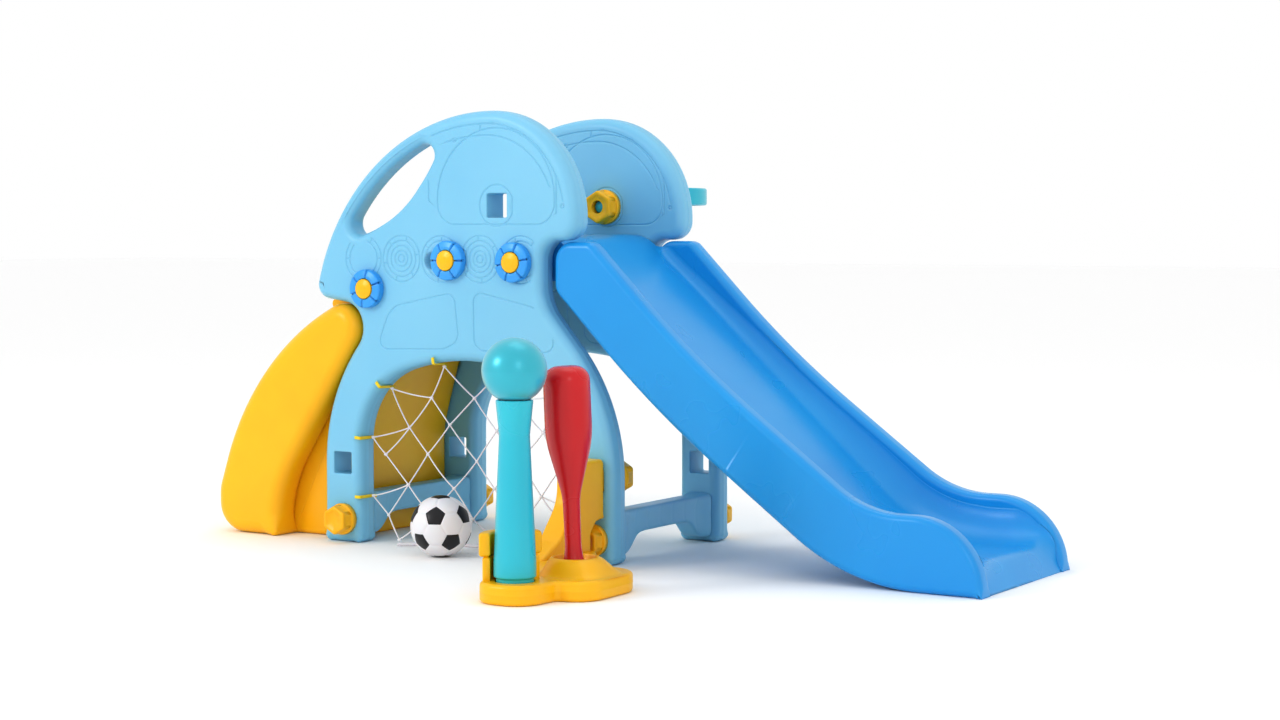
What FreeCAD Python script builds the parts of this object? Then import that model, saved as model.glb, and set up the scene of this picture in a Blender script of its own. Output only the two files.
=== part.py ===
import FreeCAD, Part
import math
import os
from FreeCAD import Placement, Rotation, Vector

# A toddler's play slide: two blow-moulded side panels, a slide, a ladder and two crossbars held
# together by hand-turned bolts, with a goal net and ball, a hoop, and a tee-ball stand and bat.
# Frame: +X along the slide towards its foot, +Y from the goal side to the hoop side, +Z up.
# The origin is the middle of the whole set's box, on the floor.
#
# Outlines are lists of corners (along, up, rounding). The panels, rails and ladder are worked out
# in millimetres from the sheet: tangent arcs, lines at a stated slope and offsets. The smaller
# pieces are in shares of the panel's height. Both start near the ladder-side leg's outer foot.

doc = FreeCAD.newDocument("ToddlerSlide")
sizes = doc.addObject("Spreadsheet::Sheet", "Sizes")

DRIVING = [
    ("panel_high", 1040, "height of a side panel"),
    ("panel_thick", 68, "thickness of a side panel"),
    ("panel_gap", 402, "clear width between the two panels"),
    ("edge_round", 16, "rounding of a panel's edges"),
    ("datum_x", -680.5, "start of the along measure, so that the set's middle is the origin"),
    ("datum_y", -130.18, "goal-side face of the goal-side panel"),
    ("leg_left", -15, "outer edge of the ladder-side leg"),
    ("leg_right", 830, "outer edge of the slide-side leg"),
    ("leg_straight", 195, "height up to which a leg's outer edge is upright"),
    ("leg_bow", 460, "radius of a leg's outer edge above that"),
    ("lean_ladder", 37, "final lean of the ladder-side leg, degrees from upright"),
    ("lean_slide", 41, "final lean of the slide-side leg, degrees from upright"),
    ("foot_round", 18, "rounding of a foot's corners"),
    ("arch_middle", 411, "middle of the arch"),
    ("arch_wide", 620, "clear width of the arch"),
    ("arch_high", 453, "height of the arch's crown"),
    ("arch_crown", 600, "radius of the arch's crown"),
    ("arch_corner", 190, "radius of the arch's two corners"),
    ("dome_middle", 480, "highest point of the dome, where its two arcs meet"),
    ("dome_round", 530, "radius of the dome's long arc, on the ladder side"),
    ("dome_steep", 76, "slope of the dome's long arc where it ends at the bumper, degrees"),
    ("brow_round", 250, "radius of the dome's short arc, on the slide side"),
    ("bumper_low", 600, "height of the bumper's tip"),
    ("bumper_round", 35, "rounding of the bumper's tip"),
    ("bumper_notch", 62, "rounding where the bumper meets the leg"),
    ("notch_high", 572, "height of the notch that takes the ladder's head"),
    ("chin_high", 738, "height of the chin over the slide's head"),
    ("neck_along", 632, "upright edge of the neck behind the slide's head"),
    ("neck_round", 120, "rounding between the neck and the leg"),
    ("grip_bar", 36, "width of the bar between hand hold and dome"),
    ("grip_along", 45, "centre of the hand hold's inner arc, along"),
    ("grip_up", 1045, "centre of the hand hold's inner arc, up"),
    ("grip_round", 300, "radius of the hand hold's inner arc"),
    ("grip_end", 28, "radius of the hand hold's ends"),
    ("rail_back", 655, "upright back of the slide's rails"),
    ("rail_top", 735, "height of the rails' level head"),
    ("rail_level", 755, "where the rails' level head ends"),
    ("chute_steep", 45, "slope of the upper chute, degrees"),
    ("chute_shallow", 36, "slope of the lower chute, degrees"),
    ("chute_bend", 2400, "radius of the bend between the two slopes"),
    ("chute_foot", 1444, "where the chute's slope would meet the level run-out"),
    ("rail_back_round", 45, "rounding of the rails' upper back corner"),
    ("rail_nose_round", 35, "rounding of the rails' lower back corner"),
    ("rail_crest_round", 30, "rounding where the rails' level head turns down"),
    ("rail_foot_round", 260, "rounding where the rails' slope turns level"),
    ("rail_heel_round", 500, "rounding where the rails' under-line turns level"),
    ("rail_deep", 150, "depth of a rail, square to its slope"),
    ("toe_reach", 1721, "the slide's far end"),
    ("toe_high", 163, "height of the rails over the run-out"),
    ("toe_flat", 3, "upright part of the toe, under its round"),
    ("ladder_front", -360, "the ladder's foremost edge"),
    ("ladder_back", -161, "upright part of the ladder's back"),
    ("ladder_pitch", 57, "slope of the ladder's back, degrees"),
    ("ladder_head", 37, "centre of the ladder's round head, along"),
    ("ladder_head_high", 525, "centre of the ladder's round head, up"),
    ("ladder_bow", 670, "radius of the ladder's bowed front"),
    ("ladder_bow_top", 26, "slope of the bowed front where it leaves the head, degrees"),
    ("ladder_bow_foot", 71, "slope of the bowed front where it meets the shin, degrees"),
    ("ladder_shin", 113, "height of the front's upright shin"),
    ("ladder_shin_round", 100, "rounding where the bowed front meets the shin"),
    ("ladder_foot_round", 75, "rounding of the ladder's front foot"),
    ("ladder_heel_round", 12, "rounding of the ladder's back foot"),
    ("ladder_knee_round", 330, "rounding where the ladder's back starts to lean"),
    ("ladder_head_round", 58, "radius of the ladder's round head"),
    ("ladder_inner", 12, "back of the ladder's body, between the panels"),
    ("ladder_inner_high", 250, "height up to which that back is upright"),
    ("ladder_wide", 560, "overall width of the ladder"),
    ("slide_wide", 497, "overall width of the slide"),
    ("bed_wide", 398, "width of the slide's bed and of both tongues"),
    ("tread_wide", 381, "width of a ladder tread between its stringers"),
    ("tread_rise", 148, "height of one ladder step"),
    ("tread_deep", 99, "depth of one ladder tread"),
    ("socket_high", 819, "height of the upper square socket's middle"),
    ("socket_side", 56, "side of the upper square socket"),
    ("leg_socket_side", 53, "side of a leg's square socket"),
    ("leg_socket_high", 195, "height of a leg socket's middle"),
    ("dial_shank", 10, "radius of a dial bolt's shank"),
    ("dial_ring", 47, "radius of a dial's grip ring"),
    ("dial_ring_thick", 22, "thickness of a dial's grip ring"),
    ("dial_cap", 24.5, "radius of a dial bolt's cap"),
    ("dial_notches", 6, "finger notches round a dial"),
    ("knob_shank", 8, "radius of a leg knob's shank"),
    ("knob_flange", 39, "radius of a leg knob's flange"),
    ("knob_hex", 36, "corner radius of a leg knob's hexagon"),
    ("flange_thick", 17, "thickness of a knob's flange"),
    ("hex_thick", 28, "thickness of a knob's hexagon"),
    ("nut_flange", 44, "radius of a peg nut's flange"),
    ("nut_hex", 42, "corner radius of a peg nut's hexagon"),
    ("peg_screw", 16, "radius of the screw at a square peg's end"),
    ("bolt_reach", 50, "how far a bolt goes into the piece it holds"),
    ("clearance", 0.5, "gap between pieces that fit together"),
    ("hoop_ring", 133, "outer radius of the hoop"),
    ("hoop_wall", 15, "thickness of the hoop's band"),
    ("hoop_band", 44, "height of the hoop's band"),
    ("hoop_neck", 31, "distance from panel to hoop"),
    ("tee_ball", 68, "radius of the tee ball"),
    ("goal_ball", 72, "radius of the football"),
    ("slab_thick", 43, "thickness of the stand's slab"),
    ("boss_high", 80, "height of the bat boss's top"),
    ("fin_thick", 58, "thickness of the stand's fin"),
    ("bar_thick", 58, "thickness of a crossbar"),
    ("hook_wide", 8, "width of a net hook's strap"),
    ("hook_thick", 4, "thickness of a net hook's strap"),
    ("hook_front", 20, "length of a hook's strap on the panel's face"),
    ("hook_jamb", 48, "length of a hook's strap along the arch's edge, behind the face"),
    ("hook_tip", 13, "length of a hook's tip"),
    ("net_cord", 4, "diameter of the net's cord"),
    ("rope_wide", 9, "diameter of the net's foot rope"),
    ("mesh_wide", 130, "width of one diamond of the net"),
    ("mesh_drop", 72, "height of half a diamond of the net"),
    ("peg_screw_long", 30, "length of the screw at a square peg's end"),
]
for line, (alias, value, note) in enumerate(DRIVING, start=1):
    sizes.set("A%d" % line, str(value))
    sizes.setAlias("A%d" % line, alias)
    sizes.set("B%d" % line, note)
doc.recompute()


def size(alias):
    """The number in the sheet's cell of that name, in millimetres."""
    return float(getattr(sizes, alias))


SAME_POINT = 1e-4
HIGH = size("panel_high")
THICK = size("panel_thick")
pieces = {}


def keep(piece, name, x="0", y="0", z="0", turn=None):
    """Names a finished piece and places it from the panel's corner by expressions in the sheet."""
    piece.Label = name
    piece.Placement = Placement(Vector(), turn or Rotation())
    piece.setExpression("Placement.Base.x", "Sizes.datum_x + " + x)
    piece.setExpression("Placement.Base.y", "Sizes.datum_y + " + y)
    piece.setExpression("Placement.Base.z", z)
    pieces[name] = piece


def share(value):
    """The sheet's expression for a share of the panel's height."""
    return "%g * Sizes.panel_high" % value


def slope_meet(first, first_slope, second, second_slope):
    """The point where two lines cross, each given by a point and a slope in degrees."""
    steep, shallow = math.radians(first_slope), math.radians(second_slope)
    ahead = (math.cos(steep), math.sin(steep))
    other = (math.cos(shallow), math.sin(shallow))
    gap = (second[0] - first[0], second[1] - first[1])
    reach = (gap[0] * other[1] - gap[1] * other[0]) / (ahead[0] * other[1] - ahead[1] * other[0])
    return first[0] + reach * ahead[0], first[1] + reach * ahead[1]


def rounded_edges(corners, scale=1.0):
    """Lines and tangent arcs round a closed loop of (along, up, rounding) corners.

    A corner wants to be cut back by rounding / tan(half the angle between its two sides). Where two
    neighbours want more than the side between them, both are made smaller in proportion."""
    points = [Vector(x * scale, z * scale, 0) for x, z, _ in corners]
    count = len(corners)
    halves, wanted = [], []
    for i, (_, _, rounding) in enumerate(corners):
        back, ahead = points[i - 1] - points[i], points[(i + 1) % count] - points[i]
        halves.append(back.getAngle(ahead) / 2)
        wanted.append(rounding * scale / math.tan(halves[i]))
    fits = []
    for i in range(count):
        long = (points[(i + 1) % count] - points[i]).Length
        both = wanted[i] + wanted[(i + 1) % count]
        fits.append(min(1.0, long / both) if both else 1.0)
    stretches = []
    for i, corner in enumerate(points):
        cut = wanted[i] * min(fits[i - 1], fits[i])
        radius = cut * math.tan(halves[i])
        back = (points[i - 1] - corner).normalize()
        ahead = (points[(i + 1) % count] - corner).normalize()
        first, last = corner + back * cut, corner + ahead * cut
        middle = (back + ahead).normalize()
        top = corner + middle * (radius / math.sin(halves[i]) - radius)
        stretches.append((first, top, last))
    edges = []
    for i, (first, top, last) in enumerate(stretches):
        if (last - first).Length > SAME_POINT:
            edges.append(Part.Arc(first, top, last))
        start = stretches[(i + 1) % count][0]
        if (start - last).Length > SAME_POINT:
            edges.append(Part.LineSegment(last, start))
    return edges


def new_body(name):
    return doc.addObject("PartDesign::Body", name + "_body")


def sketch_on(body, name, plane, loops, scale=1.0):
    """A sketch on one of the body's own origin planes, made of rounded loops or ready edges."""
    sketch = body.newObject("Sketcher::SketchObject", name)
    support = [f for f in body.Origin.OriginFeatures if f.Role == plane][0]
    sketch.AttachmentSupport = [(support, "")]
    sketch.MapMode = "FlatFace"
    for loop in loops:
        ready = not isinstance(loop[0], tuple)
        sketch.addGeometry(loop if ready else rounded_edges(loop, scale), False)
    return sketch


def add(body, kind, name, sketch, length, side="Symmetric"):
    """A pad or pocket of that whole length, half to each side of its sketch unless side says so."""
    feature = body.newObject("PartDesign::" + kind, name)
    feature.Profile = sketch
    feature.SideType = side
    feature.setExpression("Length", length)
    body.Tip = feature
    doc.recompute()
    return feature


def circle(x, z, radius):
    return [Part.Circle(Vector(x, z, 0), Vector(0, 0, 1), radius)]


def square(x, z, side, rounding=3):
    half = side / 2
    corners = [(x - half, z - half, rounding), (x + half, z - half, rounding),
               (x + half, z + half, rounding), (x - half, z + half, rounding)]
    return rounded_edges(corners)


def block(name, wide, deep, high, x, y, z):
    """A Part::Box by its size and lowest corner."""
    box = doc.addObject("Part::Box", name)
    box.Length, box.Width, box.Height = wide, deep, high
    box.Placement.Base = Vector(x, y, z)
    return box


def drum(name, radius, high, z, x=0, y=0):
    """An upright Part::Cylinder by its foot's middle; radius and high are sheet expressions."""
    cylinder = doc.addObject("Part::Cylinder", name)
    cylinder.setExpression("Radius", radius)
    cylinder.setExpression("Height", high)
    cylinder.Placement.Base = Vector(x, y, z)
    return cylinder


def fuse(name, shapes):
    whole = doc.addObject("Part::MultiFuse", name)
    whole.Shapes = shapes
    return whole


def cut(name, base, tool):
    rest = doc.addObject("Part::Cut", name)
    rest.Base, rest.Tool = base, tool
    return rest


# ---- side panels ----------------------------------------------------------------------------
# The dome is two arcs that meet level at its top. Below it are a bumper over the ladder's head and
# a chin over the slide's head, then two legs whose outer edges rise upright and bow inwards, with
# a three-centred arch between them.
CHIN_SHARE = 0.46


def panel_outline():
    """Round the panel: up the ladder-side leg, over bumper, dome and chin, down the slide-side leg
    and back along the arch. The chin's two corners take CHIN_SHARE of its width each."""
    half_ladder = math.radians(size("lean_ladder")) / 2
    half_slide = math.radians(size("lean_slide")) / 2
    foot, bow = size("foot_round"), size("leg_bow")
    knee_ladder = (size("leg_left"), size("leg_straight") + bow * math.tan(half_ladder))
    knee_slide = (size("leg_right"), size("leg_straight") + bow * math.tan(half_slide))
    notch = slope_meet(knee_ladder, 90 - size("lean_ladder"), (0, size("notch_high")), 0)
    half_dome = math.radians(size("dome_steep")) / 2
    shoulder = (size("dome_middle") - size("dome_round") * math.tan(half_dome), HIGH)
    bumper = slope_meet(shoulder, size("dome_steep"), (0, size("bumper_low")), 0)
    brow = size("dome_middle") + size("brow_round")
    neck = slope_meet(knee_slide, 90 + size("lean_slide"), (size("neck_along"), 0), 90)
    chin_round = CHIN_SHARE * (brow - size("neck_along"))
    outline = [
        (size("leg_left"), 0, foot), (*knee_ladder, bow), (*notch, size("bumper_notch")),
        (*bumper, size("bumper_round")), (*shoulder, size("dome_round")),
        (brow, HIGH, size("brow_round")), (brow, size("chin_high"), chin_round),
        (size("neck_along"), size("chin_high"), chin_round), (*neck, size("neck_round")),
        (*knee_slide, bow), (size("leg_right"), 0, foot),
    ]
    return outline + arch_outline()


def arch_outline():
    """The arch from its slide-side foot round to its ladder-side foot. The corner arcs are tangent
    to the upright jambs and, from inside, to the crown arc."""
    half = size("arch_wide") / 2
    middle, crown, corner = size("arch_middle"), size("arch_crown"), size("arch_corner")
    meet_angle = math.asin((half - corner) / (crown - corner))
    peak = size("arch_high") + crown * (1 / math.cos(meet_angle) - 1)
    spring = peak - half * math.tan(meet_angle)
    foot = size("foot_round")
    return [(middle + half, 0, foot), (middle + half, spring, corner), (middle, peak, crown),
            (middle - half, spring, corner), (middle - half, 0, foot)]


def hand_hold():
    """The hole between two circles, one concentric with the dome, one bulging up from below. Each
    end is a smaller circle that touches both from inside."""
    dome = Vector(size("dome_middle"), HIGH - size("dome_round"), 0)
    inner = Vector(size("grip_along"), size("grip_up"), 0)
    outer_radius, inner_radius = size("dome_round") - size("grip_bar"), size("grip_round")
    end = size("grip_end")
    to_dome, to_inner = outer_radius - end, inner_radius - end
    apart = (inner - dome).Length
    along = (to_dome ** 2 - to_inner ** 2 + apart ** 2) / (2 * apart)
    aside = math.sqrt(to_dome ** 2 - along ** 2)
    way = (inner - dome).normalize()
    across = Vector(way.y, -way.x, 0)
    edges, joints = [], []
    for side in (-1, 1):
        centre = dome + way * along + across * (side * aside)
        on_outer = dome + (centre - dome).normalize() * outer_radius
        on_inner = inner + (centre - inner).normalize() * inner_radius
        edges.append(Part.Arc(on_outer, centre + across * (side * end), on_inner))
        joints.append((on_outer, on_inner))
    edges.append(Part.Arc(joints[0][0], dome + way * outer_radius, joints[1][0]))
    edges.append(Part.Arc(joints[0][1], inner - way * inner_radius, joints[1][1]))
    return edges


SOCKET_X = 0.491
LEG_SOCKETS_X = (0.045, 0.750)
DIALS = [(0.127, 0.597), (0.362, 0.664), (0.541, 0.661)]
KNOBS_X = (0.050, 0.750)
KNOB_Z = 0.056
BORE_SPARE = 10


def add_panel(name, y):
    body = new_body(name)
    outline = sketch_on(body, name + "_outline", "XZ_Plane", [panel_outline()])
    pad = add(body, "Pad", name + "_blank", outline, "Sizes.panel_thick")
    face = THICK / 2
    edges = ["Edge%d" % (i + 1) for i, edge in enumerate(pad.Shape.Edges)
             if all(abs(abs(v.Y) - face) < 0.01 for v in edge.Vertexes)]
    fillet = body.newObject("PartDesign::Fillet", name + "_rounding")
    fillet.Base = (pad, edges)
    fillet.setExpression("Radius", "Sizes.edge_round")
    body.Tip = fillet
    doc.recompute()
    grip = sketch_on(body, name + "_grip", "XZ_Plane", [hand_hold()])
    add(body, "Pocket", name + "_hand_hold", grip, "Sizes.panel_thick + %d" % BORE_SPARE)
    sockets = [square(SOCKET_X * HIGH, size("socket_high"), size("socket_side"))]
    sockets += [square(x * HIGH, size("leg_socket_high"), size("leg_socket_side"))
                for x in LEG_SOCKETS_X]
    bores = [circle(x * HIGH, z * HIGH, size("dial_shank") + size("clearance")) for x, z in DIALS]
    bores += [circle(x * HIGH, KNOB_Z * HIGH, size("knob_shank") + size("clearance"))
              for x in KNOBS_X]
    holes = sketch_on(body, name + "_holes", "XZ_Plane", sockets + bores)
    add(body, "Pocket", name + "_bores", holes, "Sizes.panel_thick + %d" % BORE_SPARE)
    keep(body, name, y=y)
    return body


add_panel("front_panel", "Sizes.panel_thick / 2")
add_panel("rear_panel", "Sizes.panel_thick * 1.5 + Sizes.panel_gap")

# ---- slide ----------------------------------------------------------------------------------
# The rails' side view runs the slide's whole width. The trough is cut into it from above and the
# hollow from below, and a narrower tongue carries on between the panels as the platform.
def rails_outline():
    """Round the rails' side view: up the back, along the head, down the two slopes, along the
    run-out, round the toe, along the floor, and back up a line rail_deep below both slopes."""
    back, top, reach, toe = size("rail_back"), size("rail_top"), size("toe_reach"), size("toe_high")
    steep, shallow, deep = size("chute_steep"), size("chute_shallow"), size("rail_deep")
    crest_end, run_out = (size("rail_level"), top), (size("chute_foot"), toe)
    bend = slope_meet(crest_end, -steep, run_out, -shallow)

    def below(point, slope):
        angle = math.radians(slope)
        return point[0] - deep * math.sin(angle), point[1] - deep * math.cos(angle)

    under_steep, under_shallow = below(crest_end, steep), below(run_out, shallow)
    nose = slope_meet(under_steep, -steep, (back, 0), 90)
    under_bend = slope_meet(under_steep, -steep, under_shallow, -shallow)
    heel = slope_meet(under_shallow, -shallow, (0, 0), 0)
    return [
        (*nose, size("rail_nose_round")), (back, top, size("rail_back_round")),
        (*crest_end, size("rail_crest_round")), (*bend, size("chute_bend")),
        (*run_out, size("rail_foot_round")), (reach, toe, toe - size("toe_flat")), (reach, 0, 0),
        (*heel, size("rail_heel_round")), (*under_bend, size("chute_bend") + deep),
    ]


CREST = (0.600, 0.724, 0.100)
BED_FOOT = (1.372, 0.056, 0.350)
BED_LIP = (1.622, 0.060, 0.035)
TROUGH = [
    (0.540, 0.724, 0), CREST, BED_FOOT, BED_LIP, (1.652, -0.020, 0), (1.800, -0.020, 0),
    (1.800, 0.900, 0), (0.540, 0.900, 0),
]
UNDERSIDE = [
    (0.700, 0.591, 0.020), (1.325, 0.051, 0.200), (1.600, 0.030, 0.005), (1.600, -0.050, 0),
    (0.700, -0.050, 0),
]
TONGUE = [
    (0.235, 0.619, 0.010), (0.235, 0.715, 0.012), CREST, (0.680, 0.655, 0), (0.660, 0.619, 0),
]

slide = new_body("slide")
add(slide, "Pad", "slide_rails", sketch_on(slide, "slide_side", "XZ_Plane", [rails_outline()]),
    "Sizes.slide_wide")
add(slide, "Pocket", "slide_trough", sketch_on(slide, "slide_bed", "XZ_Plane", [TROUGH], HIGH),
    "Sizes.bed_wide")
add(slide, "Pocket", "slide_hollow",
    sketch_on(slide, "slide_under", "XZ_Plane", [UNDERSIDE], HIGH), "Sizes.bed_wide")
add(slide, "Pad", "slide_tongue", sketch_on(slide, "slide_deck", "XZ_Plane", [TONGUE], HIGH),
    "Sizes.bed_wide")
bores = [circle(x * HIGH, z * HIGH, size("dial_shank") + size("clearance")) for x, z in DIALS[1:]]
add(slide, "Pocket", "slide_bores", sketch_on(slide, "slide_bolts", "XZ_Plane", bores),
    "Sizes.slide_wide")
keep(slide, "slide", y="Sizes.panel_thick + Sizes.panel_gap / 2")

# ---- ladder ---------------------------------------------------------------------------------
# Two curved stringers with closed steps between them, a body that reaches in between the panels,
# and a tongue that makes the top landing.
def stringer_outline():
    """Round a stringer's side view: up the back, upright and then at its pitch, over the round head,
    down the bowed front and its upright shin, and round the foot. The pitch and the bow's upper end
    are both tangent to the head's circle."""
    back, front = size("ladder_back"), size("ladder_front")
    pitch, top = math.radians(size("ladder_pitch")), math.radians(size("ladder_bow_top"))
    head, high, radius = size("ladder_head"), size("ladder_head_high"), size("ladder_head_round")
    behind = (head + radius * math.sin(pitch), high - radius * math.cos(pitch))
    above = (head - radius * math.sin(top), high + radius * math.cos(top))
    tip = slope_meet(behind, size("ladder_pitch"), above, size("ladder_bow_top"))
    knee = slope_meet((back, 0), 90, behind, size("ladder_pitch"))
    shin = (front, size("ladder_shin"))
    bow = slope_meet(above, size("ladder_bow_top"), shin, size("ladder_bow_foot"))
    return [
        (back, 0, size("ladder_heel_round")), (*knee, size("ladder_knee_round")), (*tip, radius),
        (*bow, size("ladder_bow")), (*shin, size("ladder_shin_round")),
        (front, 0, size("ladder_foot_round")),
    ]


LAP = 14
BODY_TOP, BODY_UNDER_LANDING, BODY_ROUND = (100, 560), (60, 530), 300


def body_outline():
    """The ladder's body between the panels: from inside the stringers' back to its own back, which
    rises upright and then leans to the landing's underside."""
    start, inner = size("ladder_back") - LAP, size("ladder_inner")
    return [(start, 0, 0), (inner, 0, 0), (inner, size("ladder_inner_high"), BODY_ROUND),
            (*BODY_TOP, 0), (*BODY_UNDER_LANDING, 0), (start, size("ladder_shin"), 0)]


NOSINGS = (-0.325, -0.252, -0.155, -0.045)
RISER_FOOT, NOSING_UNDER, NOSING_DROP = 0.035, 0.013, 0.025
AIR_LEFT, AIR_LOW, AIR_TOP = -0.450, -0.020, 0.800
LANDING = [
    (0.020, 0.480, 0), (0.100, 0.535, 0.020), (0.228, 0.620, 0.012), (0.228, 0.715, 0.012),
    (0.056, 0.715, 0.015), (0.052, 0.560, 0),
]


def stair_air():
    """The air above the steps: up each riser, which leans back under the next tread's nosing."""
    rise = size("tread_rise") / HIGH
    deep = size("tread_deep") / HIGH
    loop = [(AIR_LEFT, AIR_LOW, 0), (NOSINGS[0] + RISER_FOOT, AIR_LOW, 0)]
    for step, nosing in enumerate(NOSINGS, start=1):
        top = step * rise
        loop.append((nosing + NOSING_UNDER, top - NOSING_DROP, 0.006))
        loop.append((nosing, top, 0.008))
        loop.append((nosing + deep, top, 0.010))
    loop.append((NOSINGS[-1] + deep, AIR_TOP, 0))
    loop.append((AIR_LEFT, AIR_TOP, 0))
    return loop


ladder = new_body("ladder")
add(ladder, "Pad", "ladder_blank",
    sketch_on(ladder, "ladder_side", "XZ_Plane", [stringer_outline()]), "Sizes.ladder_wide")
add(ladder, "Pocket", "ladder_steps",
    sketch_on(ladder, "ladder_stair", "XZ_Plane", [stair_air()], HIGH), "Sizes.tread_wide")
add(ladder, "Pad", "ladder_body", sketch_on(ladder, "ladder_inside", "XZ_Plane", [body_outline()]),
    "Sizes.bed_wide")
add(ladder, "Pad", "ladder_landing", sketch_on(ladder, "ladder_top", "XZ_Plane", [LANDING], HIGH),
    "Sizes.bed_wide")
bore = circle(DIALS[0][0] * HIGH, DIALS[0][1] * HIGH, size("dial_shank") + size("clearance"))
add(ladder, "Pocket", "ladder_bore", sketch_on(ladder, "ladder_bolt", "XZ_Plane", [bore]),
    "Sizes.ladder_wide")
keep(ladder, "ladder", y="Sizes.panel_thick + Sizes.panel_gap / 2")

# ---- crossbars ------------------------------------------------------------------------------
# Beams with an arched underside and a square flange at each end, between the legs.
BAR_TOP, BAR_FOOT, BAR_BELLY = 0.117, 0.014, 0.058
BAR_PAD, BAR_ARCH = 0.035, 0.085
half_bar = (size("panel_gap") / 2 - size("clearance")) / HIGH
BAR = [
    (-half_bar, BAR_FOOT, 0), (-half_bar, BAR_TOP, 0), (half_bar, BAR_TOP, 0),
    (half_bar, BAR_FOOT, 0), (half_bar - BAR_PAD, BAR_FOOT, 0.010),
    (half_bar - BAR_ARCH, BAR_BELLY, 0.050), (BAR_ARCH - half_bar, BAR_BELLY, 0.050),
    (BAR_PAD - half_bar, BAR_FOOT, 0.010),
]
FLANGE_WIDE, FLANGE_THICK = 78, 14

for name, x in (("crossbar_ladder_side", KNOBS_X[0]), ("crossbar_slide_side", KNOBS_X[1])):
    bar = new_body(name)
    add(bar, "Pad", name + "_beam", sketch_on(bar, name + "_side", "YZ_Plane", [BAR], HIGH),
        "Sizes.bar_thick")
    ends = []
    for end in (-1, 1):
        outer = end * half_bar * HIGH
        inner = outer - end * FLANGE_THICK
        low, high = min(outer, inner), max(outer, inner)
        ends.append([(low, BAR_FOOT * HIGH, 0), (high, BAR_FOOT * HIGH, 0),
                     (high, BAR_TOP * HIGH, 0), (low, BAR_TOP * HIGH, 0)])
    add(bar, "Pad", name + "_flanges", sketch_on(bar, name + "_ends", "YZ_Plane", ends),
        str(FLANGE_WIDE))
    bore = circle(0, KNOB_Z * HIGH, size("knob_shank") + size("clearance"))
    add(bar, "Pocket", name + "_bore", sketch_on(bar, name + "_bolt", "XZ_Plane", [bore]),
        "Sizes.panel_gap")
    keep(bar, name, x=share(x), y="Sizes.panel_thick + Sizes.panel_gap / 2")

# ---- leg knobs ------------------------------------------------------------------------------
# Hand screws with a hexagonal head on a round flange. Their own axis points out of the panel.
OUT_FRONT = Rotation(Vector(1, 0, 0), 90)
OUT_REAR = Rotation(Vector(1, 0, 0), -90)
SIDES = (("front", "0", OUT_FRONT), ("rear", "Sizes.panel_thick * 2 + Sizes.panel_gap", OUT_REAR))


def hexagon(name, radius, high, z):
    prism = doc.addObject("Part::Prism", name)
    prism.Polygon = 6
    prism.setExpression("Circumradius", radius)
    prism.setExpression("Height", high)
    prism.Placement.Base = Vector(0, 0, z)
    return prism


def add_leg_knob(name, x, y, turn):
    reach = THICK + size("bolt_reach")
    flange = drum(name + "_flange", "Sizes.knob_flange", "Sizes.flange_thick", 0)
    head = hexagon(name + "_hex", "Sizes.knob_hex", "Sizes.hex_thick", size("flange_thick"))
    shank = drum(name + "_shank", "Sizes.knob_shank", "Sizes.panel_thick + Sizes.bolt_reach",
                 -reach)
    keep(fuse(name + "_whole", [flange, head, shank]), name, share(x), y, share(KNOB_Z), turn)


for side, y, turn in SIDES:
    for place, x in zip(("ladder_side", "slide_side"), KNOBS_X):
        add_leg_knob("leg_knob_%s_%s" % (side, place), x, y, turn)

# ---- dials ----------------------------------------------------------------------------------
# Each dial is a notched grip ring clamped by a domed bolt that screws into the slide or ladder.
SEAT, RIM_DROP, CUP_WALL, DOME_RISE, NOTCH_WIDE = 10, 2, 6, 6, 3.5
NOTCH_LONG, NOTCH_DEEP = 15, 4


def ring_profile():
    outer, thick = size("dial_ring"), size("dial_ring_thick")
    hole, cup = size("dial_shank") + size("clearance"), size("dial_cap") + size("clearance")
    return [(hole, 0, 0), (outer, 0, 0), (outer, thick - RIM_DROP, 5), (cup + CUP_WALL, thick, 1),
            (cup, thick, 0), (cup, SEAT, 0), (hole, SEAT, 0)]


def bolt_profile():
    cap, thick = size("dial_cap"), size("dial_ring_thick")
    shank = size("dial_shank")
    reach = THICK + size("bolt_reach")
    return [(0, -reach, 0), (shank, -reach, 0), (shank, SEAT, 0), (cap, SEAT, 0),
            (cap, thick + RIM_DROP, 0), (0, thick + DOME_RISE, 0)]


def revolve(body, name, profile, scale=1.0):
    """A solid of revolution about the body's own Z axis, from an (radius, height) outline."""
    sketch = sketch_on(body, name + "_profile", "XZ_Plane", [profile], scale)
    turned = body.newObject("PartDesign::Revolution", name + "_turned")
    turned.Profile = sketch
    turned.ReferenceAxis = (sketch, ["V_Axis"])
    turned.Angle = 360
    body.Tip = turned
    doc.recompute()
    return turned


def add_dial(name, x, z, y, turn):
    ring = new_body(name + "_ring")
    revolve(ring, name + "_ring", ring_profile())
    outer, thick = size("dial_ring"), size("dial_ring_thick")
    inner, beyond, floor, above = outer - NOTCH_LONG, outer + 2, thick - NOTCH_DEEP, thick + 2
    notch = [(inner, floor, 0), (beyond, floor, 0), (beyond, above, 0), (inner, above, 0)]
    one = add(ring, "Pocket", name + "_notch",
              sketch_on(ring, name + "_notch_side", "XZ_Plane", [notch]), str(NOTCH_WIDE))
    pattern = ring.newObject("PartDesign::PolarPattern", name + "_notches")
    pattern.Originals = [one]
    pattern.Axis = ([f for f in ring.Origin.OriginFeatures if f.Role == "Z_Axis"][0], [""])
    pattern.Angle = 360
    pattern.Occurrences = int(size("dial_notches"))
    ring.Tip = pattern
    keep(ring, name + "_ring", share(x), y, share(z), turn)
    bolt = new_body(name + "_bolt")
    revolve(bolt, name + "_bolt", bolt_profile())
    keep(bolt, name + "_bolt", share(x), y, share(z), turn)


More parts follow.
